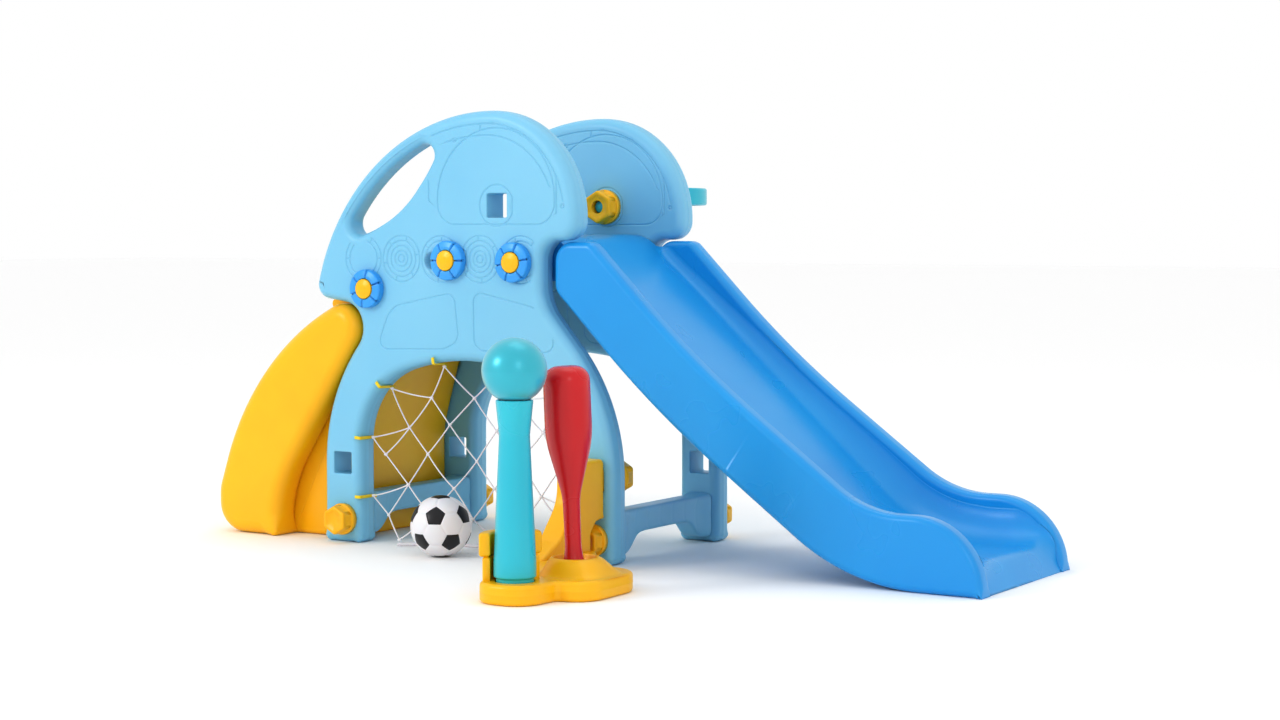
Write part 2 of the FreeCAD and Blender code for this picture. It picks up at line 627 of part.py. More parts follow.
for side, y, turn in SIDES:
    for place, (x, z) in zip(("ladder", "platform", "slide"), DIALS):
        add_dial("dial_%s_%s" % (side, place), x, z, y, turn)


# ---- peg nuts -------------------------------------------------------------------------------
# Large hexagonal nuts on the screw at the end of a square peg, inside the panels.
NUT_BORE_EXTRA = 18


def add_peg_nut(name, x, z, y, turn):
    flange = drum(name + "_flange", "Sizes.nut_flange", "Sizes.flange_thick", 0)
    head = hexagon(name + "_hex", "Sizes.nut_hex", "Sizes.hex_thick", size("flange_thick"))
    bore = drum(name + "_bore", "Sizes.peg_screw + Sizes.clearance",
                "Sizes.flange_thick + %d" % NUT_BORE_EXTRA, -1)
    solid = fuse(name + "_solid", [flange, head])
    keep(cut(name + "_whole", solid, bore), name, share(x), y, z, turn)


add_peg_nut("hoop_nut", SOCKET_X, "Sizes.socket_high", "Sizes.panel_thick + Sizes.panel_gap",
            OUT_FRONT)
add_peg_nut("stand_nut", LEG_SOCKETS_X[1], "Sizes.leg_socket_high", "Sizes.panel_thick", OUT_REAR)

# ---- hoop -----------------------------------------------------------------------------------
# A flat band ring with a bracket, a square peg through the panel's socket and a screw for a nut.
# Its own Y axis runs from the panel's outer face outwards; the peg goes back through the panel.
PEG_SIDE = size("socket_side") - 4
RING_LIFT, NECK_WIDE, NECK_INTO_BAND = 28, 62, 4
PLATE_WIDE, PLATE_THICK, PLATE_HIGH = 92, 10, 96
ring_y = size("hoop_neck") + size("hoop_ring")
band_low = RING_LIFT - size("hoop_band") / 2
ring = drum("hoop_outer", "Sizes.hoop_ring", "Sizes.hoop_band", band_low, 0, ring_y)
bore = drum("hoop_inner", "Sizes.hoop_ring - Sizes.hoop_wall", "Sizes.hoop_band + 2", band_low - 1,
            0, ring_y)
band = cut("hoop_band", ring, bore)
neck = block("hoop_neck_block", NECK_WIDE, size("hoop_neck") + size("hoop_wall") / 2 + NECK_INTO_BAND,
             size("hoop_band"), -NECK_WIDE / 2, 0, band_low)
plate = block("hoop_plate", PLATE_WIDE, PLATE_THICK, PLATE_HIGH, -PLATE_WIDE / 2, size("clearance"),
              -PLATE_WIDE / 2)
peg = block("hoop_peg", PEG_SIDE, THICK, PEG_SIDE, -PEG_SIDE / 2, size("clearance") - THICK,
            -PEG_SIDE / 2)
screw = drum("hoop_screw", "Sizes.peg_screw", "Sizes.peg_screw_long + 1", THICK - 1)
screw.Placement.Rotation = Rotation(Vector(1, 0, 0), 90)
screw.Placement.Base = Vector(0, 1 - THICK, 0)
keep(fuse("hoop_whole", [band, neck, plate, peg, screw]), "hoop", share(SOCKET_X),
     "Sizes.panel_thick * 2 + Sizes.panel_gap", "Sizes.socket_high")

# ---- tee-ball stand -------------------------------------------------------------------------
# A two-lobed slab with a boss for the bat, a cradle behind the tee, and a fin that stands against
# the leg and plugs into its square socket.
TEE = (0.880, -0.485)
BAT = (0.927, -0.342)
SLAB = [
    (0.717, -0.052, 0.010), (0.792, -0.052, 0.010), (0.850, -0.215, 0.080), (1.020, -0.225, 0.070),
    (1.024, -0.440, 0.070), (0.955, -0.447, 0.015), (0.9475, -0.5525, 0.060),
    (0.8125, -0.5525, 0.060), (0.8125, -0.370, 0.060), (0.717, -0.270, 0.060),
]
FIN = [
    (-0.0005, 0.236, 0.010), (-0.0005, 0.106, 0.006), (-0.030, 0.101, 0.012),
    (-0.052, 0.078, 0.015), (-0.052, 0.000, 0), (-0.250, 0.000, 0), (-0.250, 0.043, 0),
    (-0.170, 0.080, 0.080), (-0.110, 0.150, 0.080), (-0.106, 0.236, 0.012),
]
CRADLE_TIERS = ((0.065, 0.000, 0.090), (0.072, 0.088, 0.137))
CRADLE_BORE, CRADLE_OPEN, CRADLE_TURN = 0.048, 150, 72
BOSS_FOOT, BOSS_HEAD, TEE_BORE, BAT_BORE_FOOT, BAT_BORE_HEAD = 0.088, 0.060, 0.0385, 0.033, 0.045
SLAB_TOP = size("slab_thick")
BORE_FLOOR = 0.012 * HIGH
BOSS_SUNK = 4

slab = new_body("stand_slab")
add(slab, "Pad", "stand_slab_pad", sketch_on(slab, "stand_slab_plan", "XY_Plane", [SLAB], HIGH),
    "Sizes.slab_thick", "One side")

fin_body = new_body("stand_fin")
add(fin_body, "Pad", "stand_fin_pad",
    sketch_on(fin_body, "stand_fin_side", "YZ_Plane", [FIN], HIGH), "Sizes.fin_thick")
fin_body.Placement.Base = Vector(LEG_SOCKETS_X[1] * HIGH, 0, 0)

boss = doc.addObject("Part::Cone", "stand_boss")
boss.Radius1, boss.Radius2 = BOSS_FOOT * HIGH, BOSS_HEAD * HIGH
boss.Height = size("boss_high") - SLAB_TOP + BOSS_SUNK
boss.Placement.Base = Vector(BAT[0] * HIGH, BAT[1] * HIGH, SLAB_TOP - BOSS_SUNK)
tiers = []
for tier, (radius, low, top) in enumerate(CRADLE_TIERS):
    wall = drum("cradle_tier_%d" % tier, share(radius), share(top - low), low * HIGH,
                TEE[0] * HIGH, TEE[1] * HIGH)
    wall.Angle = CRADLE_OPEN
    wall.Placement.Rotation = Rotation(Vector(0, 0, 1), CRADLE_TURN)
    tiers.append(wall)
leg_peg_side = size("leg_socket_side") - 3
PEG_SUNK = 2
leg_peg = block("stand_peg", leg_peg_side, THICK + PEG_SUNK - 1, leg_peg_side,
                LEG_SOCKETS_X[1] * HIGH - leg_peg_side / 2, -PEG_SUNK,
                size("leg_socket_high") - leg_peg_side / 2)
leg_screw = drum("stand_screw", "Sizes.peg_screw", "Sizes.peg_screw_long + %d" % PEG_SUNK, 0)
leg_screw.Placement = Placement(Vector(LEG_SOCKETS_X[1] * HIGH, THICK - PEG_SUNK,
                                       size("leg_socket_high")), OUT_REAR)
whole = fuse("stand_solid", [slab, fin_body, boss] + tiers + [leg_peg, leg_screw])

tee_x, tee_y = TEE[0] * HIGH, TEE[1] * HIGH
tee_bore = drum("stand_tee_bore", share(TEE_BORE), "Sizes.slab_thick", BORE_FLOOR, tee_x, tee_y)
tee_room = drum("stand_tee_room", share(CRADLE_BORE), share(CRADLE_TIERS[-1][2]), SLAB_TOP, tee_x,
                tee_y)
bat_bore = doc.addObject("Part::Cone", "stand_bat_bore")
bat_bore.Radius1, bat_bore.Radius2 = BAT_BORE_FOOT * HIGH, BAT_BORE_HEAD * HIGH
bat_bore.Height = size("boss_high") + 1 - BORE_FLOOR
bat_bore.Placement.Base = Vector(BAT[0] * HIGH, BAT[1] * HIGH, BORE_FLOOR)
keep(cut("stand_whole", whole, fuse("stand_air", [tee_bore, tee_room, bat_bore])), "stand")

# ---- tee, tee ball and bat ------------------------------------------------------------------
# Turned shapes in (radius, height). The tee's plug stands in the slab and its rim holds the ball.
TEE_POST = [
    (0.000, 0.0125, 0), (0.038, 0.0125, 0), (0.038, 0.048, 0), (0.0425, 0.048, 0),
    (0.0425, 0.075, 0.400), (0.0305, 0.330, 0.080), (0.0375, 0.4005, 0.003), (0.0330, 0.4005, 0),
    (0.0300, 0.378, 0.003), (0.000, 0.378, 0),
]
TEE_BALL_Z = 0.4578
BAT_OUTLINE = [
    (0.000, 0.000, 0), (0.031, 0.000, 0.006), (0.030, 0.018, 0.006), (0.0165, 0.075, 0.150),
    (0.0180, 0.185, 0.150), (0.0480, 0.300, 0.250), (0.0475, 0.448, 0.030), (0.000, 0.448, 0),
]
BAT_FOOT_Z = 0.0135
BAT_LEAN, BAT_LEAN_AXIS = 2.2, Vector(-0.53, 0.848, 0)

post = new_body("tee_post")
revolve(post, "tee_post", TEE_POST, HIGH)
keep(post, "tee_post", share(TEE[0]), share(TEE[1]))

ball = doc.addObject("Part::Sphere", "tee_ball_sphere")
ball.setExpression("Radius", "Sizes.tee_ball")
keep(ball, "tee_ball", share(TEE[0]), share(TEE[1]), share(TEE_BALL_Z))

bat = new_body("bat")
revolve(bat, "bat", BAT_OUTLINE, HIGH)
keep(bat, "bat", share(BAT[0]), share(BAT[1]), share(BAT_FOOT_Z),
     Rotation(BAT_LEAN_AXIS, -BAT_LEAN))

# ---- football -------------------------------------------------------------------------------
football = doc.addObject("Part::Sphere", "football_sphere")
football.setExpression("Radius", "Sizes.goal_ball")
FOOTBALL = (0.384, -0.068)
keep(football, "football", share(FOOTBALL[0]), share(FOOTBALL[1]), "Sizes.goal_ball")

# ---- net hooks ------------------------------------------------------------------------------
# Straps that go round the arch's front edge and end in a small hook. Each has its point on the
# arch's edge and the direction into the opening, in degrees above +X.
HOOK_FACE, HOOK_GAP, LIP_THICK, LIP_HIGH = 5.5, 2, 2, 3
HOOK_TIP_Y = size("hook_jamb") - HOOK_FACE
JAMB_LOW_HOOK, JAMB_HIGH_HOOK = 114, 258
CORNER_HOOK, CROWN_HOOK = 48, 82


def arch_point(centre, radius, heading):
    """The point of an arch arc from which that heading leads to the arc's centre."""
    angle = math.radians(heading)
    return centre[0] - radius * math.cos(angle), centre[1] - radius * math.sin(angle), heading


def hook_places():
    """The eight hooks up one jamb, over the crown and down the other: (along, up, heading)."""
    half, middle = size("arch_wide") / 2, size("arch_middle")
    crown, corner = size("arch_crown"), size("arch_corner")
    crown_centre = (middle, size("arch_high") - crown)
    reach = half - corner
    corner_z = crown_centre[1] + math.sqrt((crown - corner) ** 2 - reach ** 2)
    ladder_side, slide_side = (middle - reach, corner_z), (middle + reach, corner_z)
    tilt = math.degrees(math.asin((JAMB_HIGH_HOOK - corner_z) / corner))
    return {
        "net_hook_ladder_low": (middle - half, JAMB_LOW_HOOK, 0),
        "net_hook_ladder_high": arch_point(ladder_side, corner, -tilt),
        "net_hook_ladder_corner": arch_point(ladder_side, corner, -CORNER_HOOK),
        "net_hook_top_ladder": arch_point(crown_centre, crown, -CROWN_HOOK),
        "net_hook_top_slide": arch_point(crown_centre, crown, CROWN_HOOK - 180),
        "net_hook_slide_corner": arch_point(slide_side, corner, CORNER_HOOK - 180),
        "net_hook_slide_high": arch_point(slide_side, corner, tilt - 180),
        "net_hook_slide_low": (middle + half, JAMB_LOW_HOOK, 180),
    }


HOOKS = hook_places()
strap_wide, strap = size("hook_wide"), size("hook_thick")
front_long, jamb_long, tip_long = size("hook_front"), size("hook_jamb"), size("hook_tip")
low = -strap_wide / 2
for name, (x, z, heading) in HOOKS.items():
    front = block(name + "_strap", front_long, strap, strap_wide,
                  HOOK_GAP + strap - front_long, -HOOK_FACE, low)
    jamb = block(name + "_jamb", strap, jamb_long + strap, strap_wide, HOOK_GAP, -HOOK_FACE, low)
    tip = block(name + "_tip", tip_long, strap, strap_wide, HOOK_GAP, HOOK_TIP_Y, low)
    lip = block(name + "_lip", LIP_THICK, LIP_HIGH, strap_wide, HOOK_GAP + tip_long - LIP_THICK,
                HOOK_TIP_Y - 1, low)
    keep(fuse(name + "_whole", [front, jamb, tip, lip]), name, "%g" % x, "0", "%g" % z,
         Rotation(Vector(0, 1, 0), -heading))

# ---- goal net -------------------------------------------------------------------------------
# A diamond mesh hung in the arch. A knot's column counts half diamonds from the arch's middle and
# its row counts down from the top, so that a knot ties to the two knots half a diamond beside it in
# the next row. The outer knots tie to the hooks, and the lowest ones hang over the floor rope.
NET_TOP, NET_SIDE, NET_BACK = 364, 4, 2
PULL_ALONG, PULL_UP = 7, 6
IN_HOOK_Y, IN_HOOK_REACH = HOOK_TIP_Y - 3.6, 9.6
KNOT_SHARE, CORD_GAP = 1.6, 0.1
NET_COLUMNS = [(-2, 0, 2), (-3, -1, 1, 3), (-4, -2, 0, 2, 4), (-3, -1, 1, 3), (-4, -2, 0, 2, 4)]
FOOT_COLUMNS = (-3, -1, 1)
FOOT_Z = 16
HOOK_TIES = {
    "net_hook_ladder_low": ((4, -4), (3, -3)), "net_hook_ladder_high": ((2, -4), (1, -3)),
    "net_hook_ladder_corner": ((1, -3), (0, -2)), "net_hook_top_ladder": ((0, -2), (0, 0)),
    "net_hook_top_slide": ((0, 0), (0, 2)), "net_hook_slide_corner": ((0, 2), (1, 3)),
    "net_hook_slide_high": ((1, 3), (2, 4)), "net_hook_slide_low": ((3, 3), (4, 4)),
}
# The rope along the net's foot lies loose on the floor, in a shallow curve behind the football.
ROPE = [
    (0.196, 0.010), (0.252, 0.052), (0.322, 0.083), (0.402, 0.087), (0.474, 0.066), (0.532, 0.036),
]


def rope_side(x):
    """How far back the rope lies at x, straight between its points."""
    for (x0, y0), (x1, y1) in zip(ROPE, ROPE[1:]):
        if x <= x1 * HIGH:
            return (y0 + (y1 - y0) * (x / HIGH - x0) / (x1 - x0)) * HIGH
    return ROPE[-1][1] * HIGH


def net_knot(row, column):
    """A knot's place: its mesh point, pulled a few millimetres aside by a sine of row and column,
    and hanging back further the nearer its column is to the middle."""
    x = size("arch_middle") + column * size("mesh_wide") / 2
    z = NET_TOP - row * size("mesh_drop")
    return Vector(x + PULL_ALONG * math.sin(2.1 * column + row),
                  IN_HOOK_Y + NET_BACK * (NET_SIDE - abs(column)),
                  z + PULL_UP * math.sin(1.3 * column + 2.4 * row))


cord_radius = size("net_cord") / 2
knot_radius = cord_radius * KNOT_SHARE
datum = Vector(size("datum_x"), size("datum_y"), 0)
knots = {(row, column): net_knot(row, column)
         for row, columns in enumerate(NET_COLUMNS) for column in columns}
foot_row = len(NET_COLUMNS)
for column in FOOT_COLUMNS:
    x = net_knot(foot_row, column).x
    knots[foot_row, column] = Vector(x, rope_side(x), FOOT_Z)
cords = [((row, column), (row + 1, column + side)) for row, column in knots for side in (-1, 1)
         if (row + 1, column + side) in knots]
for name, (x, z, heading) in HOOKS.items():
    inward = Vector(math.cos(math.radians(heading)), 0, math.sin(math.radians(heading)))
    knots[name] = Vector(x, IN_HOOK_Y, z) + inward * IN_HOOK_REACH
    cords += [(name, tie) for tie in HOOK_TIES[name]]
net_solids = [Part.makeSphere(knot_radius, spot) for spot in knots.values()]
for one, other in cords:
    start, end = knots[one], knots[other]
    run = end - start
    ahead = Vector(run).normalize()
    clear = knot_radius + CORD_GAP
    net_solids.append(Part.makeCylinder(cord_radius, run.Length - 2 * clear,
                                        start + ahead * clear, ahead))
net = doc.addObject("Part::Feature", "goal_net_solids")
net.Shape = Part.makeCompound(net_solids)
net.Label = "goal_net"
net.Placement.Base = datum
pieces["goal_net"] = net

# ---- net foot rope --------------------------------------------------------------------------
def rope_tube(points, radius):
    """A round tube along straight runs joined by tangent arcs, each arc's radius 0.45 of its
    shorter run over the tangent of half its turn. Prints the radii and checks the volume."""
    edges, start, radii = [], points[0], []
    for before, corner, after in zip(points, points[1:], points[2:]):
        back, ahead = (before - corner), (after - corner)
        cut_back = 0.45 * min(back.Length, ahead.Length)
        turn = math.pi - back.getAngle(ahead)
        radii.append(cut_back / math.tan(turn / 2))
        back, ahead = Vector(back).normalize(), Vector(ahead).normalize()
        first, last = corner + back * cut_back, corner + ahead * cut_back
        middle = (back + ahead).normalize()
        top = corner + middle * (radii[-1] / math.cos(turn / 2) - radii[-1])
        edges.append(Part.LineSegment(start, first).toShape())
        edges.append(Part.Arc(first, top, last).toShape())
        start = last
    edges.append(Part.LineSegment(start, points[-1]).toShape())
    path = Part.Wire(edges)
    ring = Part.Wire(Part.Circle(points[0], points[1] - points[0], radius).toShape())
    tube = path.makePipeShell([ring], True, False)
    print("rope length %.1f, bend radii %s" % (path.Length, [round(r) for r in radii]))
    assert abs(tube.Volume / (math.pi * radius ** 2 * path.Length) - 1) < 0.01
    return tube


rope_radius = size("rope_wide") / 2
rope = doc.addObject("Part::Feature", "net_foot_rope_tube")
rope.Shape = rope_tube([Vector(x * HIGH, y * HIGH, rope_radius) for x, y in ROPE], rope_radius)
rope.Label = "net_foot_rope"
rope.Placement.Base = datum
pieces["net_foot_rope"] = rope

# ---- checks and export ----------------------------------------------------------------------
doc.recompute()
for item in doc.Objects:
    bad = [word for word in item.State if word in ("Invalid", "Error")]
    if bad:
        raise RuntimeError("%s is %s" % (item.Label, bad))
box = FreeCAD.BoundBox()
for name, piece in pieces.items():
    if piece.Shape.isNull() or not piece.Shape.isValid() or not piece.Shape.Solids:
        raise RuntimeError("%s has no valid solid" % name)
    box.add(piece.Shape.optimalBoundingBox(False))
print("box", box)
os.makedirs("parts", exist_ok=True)
for name, piece in pieces.items():
    piece.Shape.exportStep("parts/%s.step" % name)
print(len(pieces), "pieces written")
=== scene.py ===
import math

import bmesh
import bpy
import numpy as np
from mathutils.kdtree import KDTree
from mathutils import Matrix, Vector
from mathutils.geometry import delaunay_2d_cdt


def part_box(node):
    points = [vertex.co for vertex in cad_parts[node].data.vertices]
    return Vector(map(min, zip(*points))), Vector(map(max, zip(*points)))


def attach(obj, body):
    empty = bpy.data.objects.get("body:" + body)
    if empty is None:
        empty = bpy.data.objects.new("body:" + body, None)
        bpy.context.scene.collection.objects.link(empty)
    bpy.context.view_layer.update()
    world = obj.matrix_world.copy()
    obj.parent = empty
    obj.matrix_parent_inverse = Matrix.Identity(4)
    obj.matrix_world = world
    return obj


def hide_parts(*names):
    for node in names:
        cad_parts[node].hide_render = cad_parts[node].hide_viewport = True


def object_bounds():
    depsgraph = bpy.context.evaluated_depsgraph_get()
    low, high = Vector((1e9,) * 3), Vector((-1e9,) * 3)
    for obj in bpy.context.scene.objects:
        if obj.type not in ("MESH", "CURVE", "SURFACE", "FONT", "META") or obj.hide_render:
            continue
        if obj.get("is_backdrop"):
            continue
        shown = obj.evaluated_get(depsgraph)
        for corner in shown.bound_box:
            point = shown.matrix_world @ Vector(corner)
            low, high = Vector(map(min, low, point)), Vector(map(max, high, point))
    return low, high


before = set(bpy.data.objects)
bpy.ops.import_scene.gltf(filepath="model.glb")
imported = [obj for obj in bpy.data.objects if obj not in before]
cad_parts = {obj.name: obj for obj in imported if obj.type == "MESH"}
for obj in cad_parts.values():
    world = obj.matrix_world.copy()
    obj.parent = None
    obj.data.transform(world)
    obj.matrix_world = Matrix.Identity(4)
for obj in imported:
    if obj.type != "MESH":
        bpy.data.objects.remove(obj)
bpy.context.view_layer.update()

# ---- studio -----------------------------------------------------------------------------------
# A pale floor without an edge, a big soft light high on the left, a weaker one on the right and
# one overhead. The camera looks past the goal side towards the slide's foot.
panel_low, panel_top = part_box("front_panel")
HIGH = panel_top.z - panel_low.z      # height of a side panel, the measure of every share below
TEE = (0.880, -0.485)
tee_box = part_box("tee_ball")
LEG_X = (tee_box[0].x + tee_box[1].x) / 2 - TEE[0] * HIGH   # where the along measure starts
FACE_Y = panel_low.y                  # goal-side face of the goal-side panel

VIEW_TURN, VIEW_DROP = math.radians(32), math.radians(3.3)
VIEW_DISTANCE, VIEW_AIM = 5.3, Vector((0.11, 0.05, 0.46))
camera_data = bpy.data.cameras.new("camera")
camera_data.lens = 64
camera_data.clip_end = 100
camera = bpy.data.objects.new("camera", camera_data)
camera.location = VIEW_AIM + VIEW_DISTANCE * Vector((
    math.cos(VIEW_DROP) * math.sin(VIEW_TURN), -math.cos(VIEW_DROP) * math.cos(VIEW_TURN),
    math.sin(VIEW_DROP)))
camera.rotation_euler = (math.pi / 2 - VIEW_DROP, 0, VIEW_TURN)
bpy.context.scene.collection.objects.link(camera)
bpy.context.scene.camera = camera
bpy.context.scene.view_settings.view_transform = "Standard"
bpy.context.scene.view_settings.gamma = 0.8

world = bpy.data.worlds.new("studio")
world.use_nodes = True
world.node_tree.nodes["Background"].inputs["Color"].default_value = (1.0, 1.0, 1.0, 1)
world.node_tree.nodes["Background"].inputs["Strength"].default_value = 1.0
bpy.context.scene.world = world


def soft_light(name, place, target, width, height, power):
    """A rectangular light at place, facing target, in metres and watts."""
    data = bpy.data.lights.new(name, "AREA")
    data.shape, data.size, data.size_y, data.energy = "RECTANGLE", width, height, power
    light = bpy.data.objects.new(name, data)
    light.location = place
    light.rotation_mode = "QUATERNION"
    light.rotation_quaternion = (Vector(target) - Vector(place)).to_track_quat("-Z", "Y")
    bpy.context.scene.collection.objects.link(light)


soft_light("key_light", (-2.6, -4.6, 2.9), (0, 0, 0.5), 1.4, 1.4, 70)
soft_light("fill_light", (3.6, -3.4, 2.2), (0.2, 0, 0.5), 1.0, 2.0, 14)
soft_light("top_light", (0.2, 0.3, 4.2), (0.2, 0, 0.4), 2.6, 2.0, 16)

floor_mesh = bpy.data.meshes.new("floor")
FLOOR_REACH = 40.0
floor_corners = [(FLOOR_REACH * x, FLOOR_REACH * y, 0) for x, y in ((-1, -1), (1, -1), (1, 1), (-1, 1))]
floor_mesh.from_pydata(floor_corners, [], [(0, 1, 2, 3)])
floor = bpy.data.objects.new("floor", floor_mesh)
bpy.context.scene.collection.objects.link(floor)
floor_paint = bpy.data.materials.new("floor_paint")
floor_paint.use_nodes = True
floor_shader = floor_paint.node_tree.nodes["Principled BSDF"]
floor_shader.inputs["Base Color"].default_value = (0.985, 0.985, 0.985, 1)
floor_shader.inputs["Roughness"].default_value = 0.9
floor_mesh.materials.append(floor_paint)
floor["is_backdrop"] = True


# ---- side panels ------------------------------------------------------------------------------
# Two hollow blow-moulded panels in light blue polyethylene, each one shell with pillowed edges, a
# parting line round its rim, shallow engraved dials and a visor on both faces, a hand hold and
# square sockets. They stand on their own feet and carry everything else.
def corner_arcs(corners, closed):
    """Each corner's tangent arc as (centre, radius, start angle, sweep), or the bare corner.

    A corner wants to be cut back by rounding / tan(half its angle). Where two neighbours want more
    than the side between them, both are made smaller in proportion."""
    spots = corners[:, :2]
    count = len(spots)
    halves, wanted = np.full(count, np.pi / 2), np.zeros(count)
    for i in range(0 if closed else 1, count if closed else count - 1):
        back, ahead = spots[i - 1] - spots[i], spots[(i + 1) % count] - spots[i]
        cosine = back @ ahead / (np.hypot(*back) * np.hypot(*ahead))
        halves[i] = math.acos(np.clip(cosine, -1, 1)) / 2
        wanted[i] = corners[i, 2] / math.tan(halves[i])
    side = np.hypot(*(np.roll(spots, -1, 0) - spots).T)
    both = wanted + np.roll(wanted, -1)
    fits = np.minimum(1, side / np.maximum(both, 1e-9))
    arcs = []
    for i in range(count):
        cut = wanted[i] * min(fits[i - 1], fits[i])
        radius = cut * math.tan(halves[i]) if cut > 0 else 0
        if radius < 1e-6:
            arcs.append(spots[i][None])
            continue
        back, ahead = spots[i - 1] - spots[i], spots[(i + 1) % count] - spots[i]
        back, ahead = back / np.hypot(*back), ahead / np.hypot(*ahead)
        bisector = (back + ahead) / np.hypot(*(back + ahead))
        centre = spots[i] + bisector * radius / math.sin(halves[i])
        first, last = spots[i] + back * cut - centre, spots[i] + ahead * cut - centre
        start = math.atan2(first[1], first[0])
        sweep = (math.atan2(last[1], last[0]) - start + math.pi) % (2 * math.pi) - math.pi
        arcs.append((centre, radius, start, sweep))
    return arcs


def arc_points(arc, step):
    """An arc sampled every step, and at least every eight degrees or so."""
    if len(arc) != 4:
        return arc
    centre, radius, start, sweep = arc
    count = max(5, int(round(abs(sweep) * radius / step)), int(abs(sweep) * 7))
    angle = start + sweep * np.linspace(0, 1, count + 1)
    return centre + radius * np.stack([np.cos(angle), np.sin(angle)], 1)


def anticlockwise(loop):
    """A loop without doubled points, turned anticlockwise by the sign of its area."""
    loop = loop[np.hypot(*(loop - np.roll(loop, 1, 0)).T) > 1e-5]
    area = np.sum(loop[:, 0] * np.roll(loop[:, 1], -1) - loop[:, 1] * np.roll(loop[:, 0], -1))
    return loop if area > 0 else loop[::-1]


def rounded_loop(corners, step=0.006, scale=HIGH):
    """A closed anticlockwise loop of points, a step apart, round corners given as
    (along, up, rounding): arcs tangent to both sides and straights between them."""
    pieces = [arc_points(arc, step) for arc in corner_arcs(np.asarray(corners, float) * scale, True)]
    loop = []
    for i, piece in enumerate(pieces):
        loop.append(piece)
        start, end = piece[-1], pieces[(i + 1) % len(pieces)][0]
        count = int(np.hypot(*(end - start)) / step)
        if count > 1:
            share = np.arange(1, count)[:, None] / count
            loop.append(start + (end - start) * share)
    return anticlockwise(np.concatenate(loop))


def line_normal(line):
    """The unit normal at each point of an open line, a quarter turn left of its direction."""
    along = np.gradient(line, axis=0)
    along /= np.hypot(*along.T)[:, None]
    return np.stack([-along[:, 1], along[:, 0]], 1)


def inward(loop):
    """The unit normal at each point of a loop that runs anticlockwise, pointing inside."""
    along = np.roll(loop, -1, 0) - np.roll(loop, 1, 0)
    along /= np.hypot(*along.T)[:, None]
    return np.stack([-along[:, 1], along[:, 0]], 1)


def edge_radii(loop, radius):
    """The edge rounding that fits at each point: the wanted radius, but at most 0.8 of the
    outline's own radius there, changing by no more than 0.6 for each metre along the loop."""
    ahead = np.roll(loop, -1, 0) - loop
    back = loop - np.roll(loop, 1, 0)
    length = np.hypot(*ahead.T)
    turn = np.arctan2(back[:, 0] * ahead[:, 1] - back[:, 1] * ahead[:, 0], np.sum(back * ahead, 1))
    own = 0.8 * (length + np.hypot(*back.T)) / 2 / np.maximum(turn, 1e-4)
    place = np.concatenate([[0], np.cumsum(length)[:-1]])
    gap = np.abs(place[:, None] - place[None])
    gap = np.minimum(gap, length.sum() - gap)
    return np.minimum(radius, np.min(own[None] + 0.6 * gap, 1))


def inside(points, loop):
    """Which points lie inside a loop, by counting the sides that a ray to the right crosses."""
    a, b = loop, np.roll(loop, -1, 0)
    x, y = points[:, :1], points[:, 1:]
    crosses = (a[:, 1] > y) != (b[:, 1] > y)
    with np.errstate(divide="ignore", invalid="ignore"):
        at = a[:, 0] + (y - a[:, 1]) * (b[:, 0] - a[:, 0]) / (b[:, 1] - a[:, 1])
    return np.sum(crosses & (x < at), 1) % 2 == 1


def distance_to(points, starts, ends):
    """Each point's distance to the nearest of a set of line segments."""
    nearest = np.full(len(points), 1e9)
    run = ends - starts
    square = np.maximum(np.sum(run * run, 1), 1e-12)
    for part in np.array_split(np.arange(len(points)), max(1, len(points) * len(starts) // 2000000)):
        offset = points[part, None] - starts[None]
        share = np.clip(np.sum(offset * run[None], 2) / square[None], 0, 1)
        gap = offset - share[..., None] * run[None]
        nearest[part] = np.sqrt(np.min(np.sum(gap * gap, 2), 1))
    return nearest


def solid_mesh(name, shape, material, body, node):
    """An object from a shape, its points and faces: doubles merged, faces turned outward by the sign of the
    volume, which is a sixth of the sum of each triangle's corner triple product."""
    points, faces = shape
    mesh = bpy.data.meshes.new(name)
    mesh.from_pydata(np.asarray(points, float).tolist(), [], [list(map(int, f)) for f in faces])
    piece = bpy.data.objects.new(name, mesh)
    bpy.context.scene.collection.objects.link(piece)
    work = bmesh.new()
    work.from_mesh(mesh)
    bmesh.ops.remove_doubles(work, verts=work.verts, dist=2e-5)
    bmesh.ops.dissolve_degenerate(work, edges=work.edges, dist=1e-7)
    bmesh.ops.recalc_face_normals(work, faces=work.faces)
    if work.calc_volume(signed=True) < 0:
        bmesh.ops.reverse_faces(work, faces=work.faces)
    work.to_mesh(mesh)
    work.free()
    mesh.shade_smooth()
    mesh.materials.append(material)
    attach(piece, body)
    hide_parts(node)
    return piece


def grid_faces(rings, around, closed=True, start=0):
    """Quads of a grid whose rows are rings of that many points."""
    last = around if closed else around - 1
    i, j = np.meshgrid(np.arange(rings - 1), np.arange(last), indexing="ij")
    a = i * around + j
    b = i * around + (j + 1) % around
    return (np.stack([a, b, b + around, a + around], -1).reshape(-1, 4) + start).tolist()


GROOVE_WIDE, GROOVE_DEEP = 0.0050, 0.0022
FLAT_MARGIN = 0.0012      # a narrow flat strip that keeps the shading of a curve off the flat
SEAM_HALF = 0.0010


